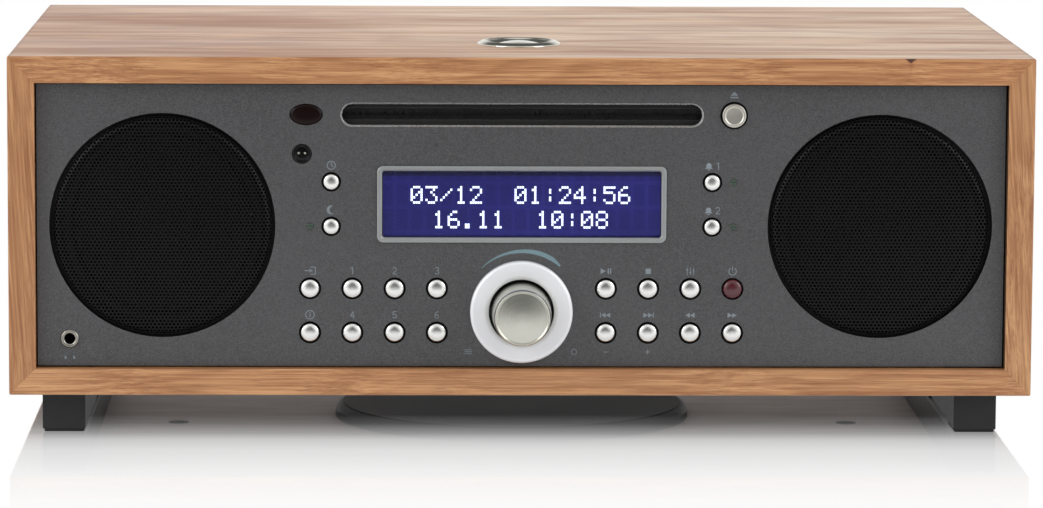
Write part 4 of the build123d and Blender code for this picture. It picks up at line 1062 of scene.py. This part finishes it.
def push_buttons():
    """All the push buttons, each on its own body."""
    for name in SIGNS:
        node = "button_" + name
        low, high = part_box(node)
        middle = (low + high) / 2
        radius = (high.x - low.x) / 2 / MM - 1.0
        face = (PANEL_Y - low.y) / MM
        reach = (high.y - PANEL_Y) / MM
        material = {"eject": "eject", "power": "power"}.get(name, "button")
        slot = "red_button" if name == "power" else "silver_button"
        place = at((middle.x, PANEL_Y, middle.z))
        turned = lathe(cap_profile(name, radius, face, reach), 72)
        made = piece(f"{node}_cap", *turned, material, node, place, slot, [node])
        # Painted shade: each cap's faces more than 0.7 mm behind the panel face are black, for the gap round the
        # button.
        darken_beyond(made, -0.7)


def snooze_parts():
    """Chrome ring and domed button in the top of the case."""
    low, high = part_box("snooze_ring")
    middle = (low + high) / 2
    radius = (high.x - low.x) / 2 / MM
    proud = (high.z - CASE_TOP) / MM
    depth = (CASE_TOP - low.z) / MM
    cap_low, cap_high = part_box("snooze_button")
    cap = (cap_high.x - cap_low.x) / 2 / MM
    cap_rim = (cap_high.z - CASE_TOP) / MM
    cap_depth = (CASE_TOP - cap_low.z) / MM
    hole = cap + 0.2
    ring = rounded([
        (0, 1.5 - depth), (hole, 1.5 - depth), (hole, proud - 2.4, 0.2), (radius - 3.0, proud - 1.1, 0.8),
        (radius - 2.0, proud, 0.5), (radius - 0.1, 0.35, 0.3), (radius, 0.1), (radius, 0),
        (radius - 2.6, 0), (radius - 2.6, -depth), (0, -depth)], 8)
    place = Matrix.Translation((middle.x, middle.y, CASE_TOP))
    piece("snooze_ring_turned", *lathe(ring, 160), "chrome", "case", place, "chrome", ["snooze_ring"])
    dome = [(cap * k / 8, cap_rim - 1.6 * (k / 8) ** 2) for k in range(9)]
    button = rounded([
        *dome, (cap, cap_rim - 3.9), (2, cap_rim - 3.9), (2, -cap_depth), (0, -cap_depth)], 8)
    piece("snooze_button_turned", *lathe(button, 144), "chrome", "snooze_button", place, "chrome", ["snooze_button"])


# ---------------------------------------------------------------- lenses and headphone socket

def panel_lenses():
    """The remote receiver's oval window, the light sensor and three lamps of three green dots each."""
    clock, eject = centre("button_clock"), centre("button_eject")
    sleep, alarm = centre("button_sleep"), centre("button_alarm_1")
    lens_low, lens_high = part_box("panel_lenses")
    half_width, half_height = 5.8, 3.75
    oval = lathe(rounded([
        (0, 0.40), (half_width - 2.8, 0.35, 1.0), (half_width - 0.9, 0.18, 0.8), (half_width - 0.05, -0.3, 0.3),
        (half_width, -3.0), (0, -3.0)], 6), 96)
    squeezed = [(x, y * half_height / half_width, z) for x, y, z in oval[0]]
    window_at = (lens_low.x + half_width * MM, PANEL_Y, eject.z)
    piece("remote_window", squeezed, oval[1], "ir", "case", at(window_at), "dark_lens", ["panel_lenses"])
    sensor = rounded([
        (0, -0.6), (1.9, -0.7, 0.5), (2.5, -0.8, 0.3), (2.9, 0.05, 0.3), (3.45, -0.05, 0.3),
        (3.5, -3.0), (0, -3.0)], 6)
    sensor_at = (lens_low.x + 4.3 * MM, PANEL_Y, clock.z + 9.8 * MM)
    piece("light_sensor", *lathe(sensor, 72), "sensor", "case", at(sensor_at), "dark_lens", ["panel_lenses"])
    # Painted glint: two bright nickel beads in the sensor stand for the two glints of the studio lights on its lens,
    # and the beads also reflect the lights themselves.
    glint_bead = rounded([(0, 0.1), (0.42, -0.05, 0.25), (0.55, -0.5, 0.1), (0.55, -1.0), (0, -1.0)], 4)
    glint_beads = merge(*[shifted(lathe(glint_bead, 32), (x * MM, 0.2 * MM, 0)) for x in (-1.1, 1.1)])
    piece("light_sensor_glint_beads", *glint_beads, "nickel", "case", at(sensor_at), "dark_lens", ["panel_lenses"])
    reach = (PANEL_Y - lens_high.y) / MM
    base = lathe(rounded([(0, -0.02), (1.22, -0.02, 0.1), (1.3, -0.1), (1.3, reach), (0, reach)], 4), 48)
    bead = rounded([(0, 0.36), (0.42, 0.2, 0.2), (0.56, -0.02, 0.1), (0.5, -0.3), (0, -0.3)], 4)
    beads = merge(*[shifted(lathe(bead, 24), (x * MM, y * MM, 0)) for x, y in ((-0.66, 0.4), (0.66, 0.4), (0, -0.55))])
    column = eject.x
    places = {"lamp_sleep": (-column, sleep.z), "lamp_alarm_1": (column, alarm.z), "lamp_alarm_2": (column, sleep.z)}
    for name, (x, z) in places.items():
        here = at((x, PANEL_Y, z))
        piece(name, *beads, "lamp", "case", here, "dark_lens", ["panel_lenses"])
        piece(name + "_base", *base, "panel", "case", here, "panel_paint", ["panel_lenses"])


def headphone_socket():
    """Plated collar whose bore is painted black as shade, on a moulded body behind the panel."""
    low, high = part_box("headphone_jack")
    middle = (low + high) / 2
    back = (high.y - PANEL_Y) / MM
    place = at((middle.x, PANEL_Y, middle.z))
    collar = rounded([
        (1.8, -3.0), (1.8, 0.3, 0.3), (2.2, 0.62, 0.25), (2.9, 0.7, 0.3), (3.3, 0.2, 0.3), (3.3, 0), (2.95, 0),
        (2.95, -3.0)], 6)
    made = piece("jack_collar", *lathe(collar, 72, closed=True), "nickel", "case", place, "chrome", ["headphone_jack"])
    # Painted shade: the collar's faces more than 0.3 mm behind the panel face are black.
    darken_beyond(made, -0.3)
    liner = rounded([
        (1.8, -3.0), (5.2, -3.0, 0.3), (5.2, -back, 0.3), (0, -back), (0, -14.0), (1.8, -14.0)], 4)
    vertices, faces = lathe(liner, 48)
    squared = []
    for x, y, z in vertices:
        if math.hypot(x, y) > 2 * MM:
            x = max(-5.5 * MM, min(5.5 * MM, x * 1.35))
            y = max(-5 * MM, min(5 * MM, y * 1.35))
        squared.append((x, y, z))
    piece("jack_body", squared, faces, "black", "case", place, "black_plastic", ["headphone_jack"])


# ---------------------------------------------------------------- carried-over CAD nodes

def paint(node, *materials, choose=None):
    """Gives a CAD node its materials; choose returns a material's number from a face's centre."""
    mesh = nodes[node].data
    mesh.materials.clear()
    for name in materials:
        mesh.materials.append(MATERIALS[name])
    mesh.shade_smooth()
    mesh.set_sharp_from_angle(angle=SMOOTH_ANGLE)
    for polygon in mesh.polygons:
        polygon.material_index = choose(polygon.center) if choose else 0


def paint_nodes():
    """Materials for every CAD node that stays in view."""
    middle = centre("display_window")
    corner = Vector((middle.x - CELL_WIDTH * 7.5, 0, middle.z + UPPER_LINE - LINE_HEIGHT / 2))
    MATERIALS["display"] = display_blue(CELL_WIDTH, LINE_HEIGHT, corner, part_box("display_window")[1].z)
    simple = {
        "panel_battens": "raw_wood", "back_panel": "black", "foot_rails": "foot_black",
        "foot_pads": "rubber", "case_screws": "steel", "display_bezel": "bezel", "display_window": "window",
        "encoder_body": "steel", "encoder_rotor": "black", "encoder_shaft": "steel", "cone_surrounds": "rubber",
        "left_cone": "paper", "right_cone": "paper", "bass_cone": "paper", "disc_chassis": "dark_steel",
        "disc_spindle": "black",
    }
    for node, material in simple.items():
        paint(node, material)
    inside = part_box("front_panel")[1].x + 0.9 * MM
    # Painted light: the left wall's inner faces get the painted highlight and the right wall's inner faces get the
    # painted shade.
    paint("cabinet_left", "cherry_z", "reveal_painted_highlight", choose=lambda p: int(p.x > -inside))
    paint("cabinet_right", "cherry_z", "reveal_painted_shade", choose=lambda p: int(p.x < inside))
    upper = CASE_TOP - 0.02 * MM
    paint("cabinet_top", "cherry_x", "cherry_top", choose=lambda p: int(p.z > upper))
    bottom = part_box("cabinet_bottom")[0].z + 0.05 * MM
    paint("cabinet_bottom", "cherry_x", "underside", "black",
          choose=lambda p: 1 if p.z < bottom else 2 * int(math.hypot(abs(p.x) - 125 * MM, p.y - 12 * MM) < 5 * MM))
    # Painted shade: the panel's faces behind its front, round its holes and edges, are black so the gaps look shaded.
    paint("front_panel", "panel", "black", choose=lambda p: int(p.y > PANEL_Y + 0.2 * MM))
    cloth_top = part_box("bass_guard")[0].z + 0.41 * MM
    paint("bass_guard", "black", "cloth", choose=lambda p: int(p.z < cloth_top))
    paint("display_module", "display", "board", choose=lambda p: int(p.y > PANEL_Y + 5.4 * MM))
    paint("control_board", "board", "black", choose=lambda p: int(p.y < PANEL_Y + 14.9 * MM))
    magnet_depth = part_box("driver_frames")[0].y + 23.9 * MM
    paint("driver_frames", "black", "magnet", choose=lambda p: int(p.y > magnet_depth))
    bass_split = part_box("bass_frame")[0].z + 33.9 * MM
    paint("bass_frame", "black", "magnet", choose=lambda p: int(p.z > bass_split))
    lens_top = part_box("laser_sled")[1].z - 1.3 * MM
    paint("laser_sled", "black", "lens_glass", choose=lambda p: int(p.z > lens_top))
    paint("loading_roller", "rubber", "dark_steel", choose=lambda p: int(abs(p.x) > 60.1 * MM))
    board_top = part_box("main_board")[0].z + 11.9 * MM
    paint("main_board", "board", "steel", "capacitor",
          choose=lambda p: 0 if p.z < board_top else (2 if p.x > -125 * MM and p.y < 25 * MM else 1))
    core = centre("power_transformer")
    paint("power_transformer", "steel", "coil_tape", choose=lambda p: int(abs(p.y - core.y) > 12.2 * MM))
    paint("rear_sockets", "nickel", "black", choose=lambda p: int(p.x > 0))


def rear_inserts():
    """Coloured insulators and centre sleeves of the phono sockets."""
    low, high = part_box("rear_sockets")
    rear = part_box("back_panel")[1].y
    for column, x in enumerate((-145 * MM, -125 * MM)):
        for line, z in enumerate((45 * MM, 62 * MM)):
            material = "red_insert" if line else "white_insert"
            ring = rounded([(4.2, 0.0), (6.6, 0.0), (6.6, 1.0, 0.4), (5.9, 1.4, 0.4), (4.2, 1.4)], 4)
            core = rounded([(1.62, 1.0), (3.2, 1.0), (3.2, 5.6, 0.3), (1.62, 5.6)], 4)
            vertices, faces = merge(lathe(ring, 48, closed=True), lathe(core, 32, closed=True))
            piece(f"phono_insert_{column}{line}", vertices, faces, material, "case", at((x, rear, z), FACING_BACK), "grey_plastic")


# ---------------------------------------------------------------- floor, light and camera

def floor():
    """White glossy floor: it mirrors the underside of the case and fades to plain white in front."""
    s = Shader("floor")
    place = s.axes(s.place())
    ahead = s.node("MapRange", {0: place[1], 1: -60.0, 2: -240.0})
    fade = s.ramp(ahead, (0.0, 1.0), (0.11, 0.93), (0.23, 0.71), (0.31, 0.45), (0.43, 0.29), (0.66, 0.16), (1.0, 0.05))
    beside = s.step(s.math("ABSOLUTE", place[0]), 215.0, 190.0)
    behind = s.step(place[1], 150.0, 125.0)
    haze = s.noise(s.place(), 0.01, 2.0)
    shade = s.ramp(haze, (0.3, srgb(246, 246, 247)), (0.7, srgb(252, 252, 252)))
    plain = s.node("Emission", {"Color": (1, 1, 1, 1), "Strength": 1.0})
    mirror = s.node("BsdfGlossy", {"Color": (1, 1, 1, 1), "Roughness": 0.03})
    seen = s.node("MixShader", {0: s.product(fade, beside, behind), 1: plain, 2: mirror})
    bearing = s.math("DIVIDE", s.math("ABSOLUTE", place[0]), s.math("MAXIMUM", s.math("MULTIPLY", place[1], -1.0), 1.0))
    gap = s.product(s.step(bearing, 0.45, 0.2), s.step(place[1], -380.0, -560.0), 0.75)
    matt = s.node("BsdfDiffuse", {"Color": s.mix(gap, shade, srgb(10, 10, 10))})
    under = s.product(beside, s.step(place[1], -125.0, -95.0), behind)
    glow = s.node("Emission", {"Color": (1, 1, 1, 1), "Strength": s.math("MULTIPLY", under, 0.24)})
    unseen = s.node("AddShader", {0: matt, 1: glow})
    s.end(s.node("MixShader", {0: s.node("LightPath"), 1: unseen, 2: seen}))
    mesh = bpy.data.meshes.new("floor")
    reach = 30.0
    corners = [(-reach, -reach, 0), (reach, -reach, 0), (reach, reach, 0), (-reach, reach, 0)]
    mesh.from_pydata(corners, [], [(0, 1, 2, 3)])
    mesh.materials.append(s.material)
    made = bpy.data.objects.new("floor", mesh)
    bpy.context.scene.collection.objects.link(made)


def world_light():
    """White studio: the camera sees plain white, and the object sees softer walls with dark gaps."""
    world = bpy.data.worlds.new("studio")
    bpy.context.scene.world = world
    world.use_nodes = True
    w = Graph(world.node_tree)
    x, y, z = w.axes(w.node("TexCoord", out=0))
    aside = w.math("ABSOLUTE", x)
    bearing = w.math("DIVIDE", aside, w.math("MAXIMUM", w.math("MULTIPLY", y, -1.0), 0.001))
    wedge = w.math("ADD", bearing, w.math("MULTIPLY", w.math("MAXIMUM", z, 0.0), 0.6))
    front_gap = w.product(w.step(wedge, 0.50, 0.24), w.step(z, 0.66, 0.42), 0.85)
    ceiling = w.product(w.step(z, 0.36, 0.60), w.step(y, -0.12, 0.12), w.step(aside, 0.75, 0.45), 0.85)
    rear_wall = w.product(w.step(y, 0.3, 0.7), w.step(z, 0.45, 0.2))
    lit = w.product(0.84, w.math("SUBTRACT", 1.0, front_gap), w.math("SUBTRACT", 1.0, ceiling))
    strength = w.math("ADD", lit, w.math("MULTIPLY", rear_wall, 0.16))
    light = w.node("Background", {"Color": (1.0, 1.0, 1.0, 1.0), "Strength": strength})
    plain = w.node("Background", {"Color": (1.0, 1.0, 1.0, 1.0), "Strength": 1.0})
    w.end(w.node("MixShader", {0: w.node("LightPath"), 1: light, 2: plain}), "World")


def softbox(name, place, target, width, height, power, mirrored=True):
    """A rectangular studio light aimed at a point; mirrored says whether shiny surfaces show it."""
    data = bpy.data.lights.new(name, "AREA")
    data.shape = "RECTANGLE"
    data.size, data.size_y = width, height
    data.energy = power
    made = bpy.data.objects.new(name, data)
    made.visible_glossy = mirrored
    made.location = place
    made.rotation_euler = (Vector(target) - Vector(place)).to_track_quat("-Z", "Y").to_euler()
    bpy.context.scene.collection.objects.link(made)


def studio():
    """Soft boxes at both sides in front, and one above and behind for the top."""
    low, high = cad_box
    middle = (low + high) / 2
    softbox("left_box", (-1.5, -1.1, 0.9), middle, 0.9, 1.2, 11)
    softbox("right_box", (1.5, -1.0, 0.9), middle, 0.9, 1.2, 10)
    softbox("top_box", (0.0, 0.7, 1.5), middle, 1.6, 0.9, 11, mirrored=False)


def camera():
    """Long lens in front, a little to the left, looking slightly down."""
    data = bpy.data.cameras.new("camera")
    data.sensor_width = 36.0
    data.lens = 176.95
    data.clip_start, data.clip_end = 0.05, 100.0
    yaw, pitch, roll = (math.radians(a) for a in (-1.506, 7.288, 0.297))
    forward = Vector((-math.sin(yaw) * math.cos(pitch), math.cos(yaw) * math.cos(pitch), -math.sin(pitch)))
    level = Vector((math.cos(yaw), math.sin(yaw), 0))
    upright = level.cross(forward)
    right = level * math.cos(roll) + upright * math.sin(roll)
    up = upright * math.cos(roll) - level * math.sin(roll)
    turn = Matrix((right, up, -forward)).transposed().to_4x4()
    made = bpy.data.objects.new("camera", data)
    made.matrix_world = Matrix.Translation((-46.9 * MM, -1885.5 * MM, 292.0 * MM)) @ turn
    bpy.context.scene.collection.objects.link(made)
    bpy.context.scene.camera = made
    bpy.context.scene.view_settings.view_transform = "Standard"


paint_nodes()
speaker_grille(-1, "grille_left")
speaker_grille(1, "grille_right")
slot_trim()
felt_strip("felt_upper", 1)
felt_strip("felt_lower", -1)
display_characters()
panel_printing()
volume_arc()
knob_ring()
volume_knob()
push_buttons()
snooze_parts()
panel_lenses()
headphone_socket()
rear_inserts()
floor()
world_light()
studio()
camera()
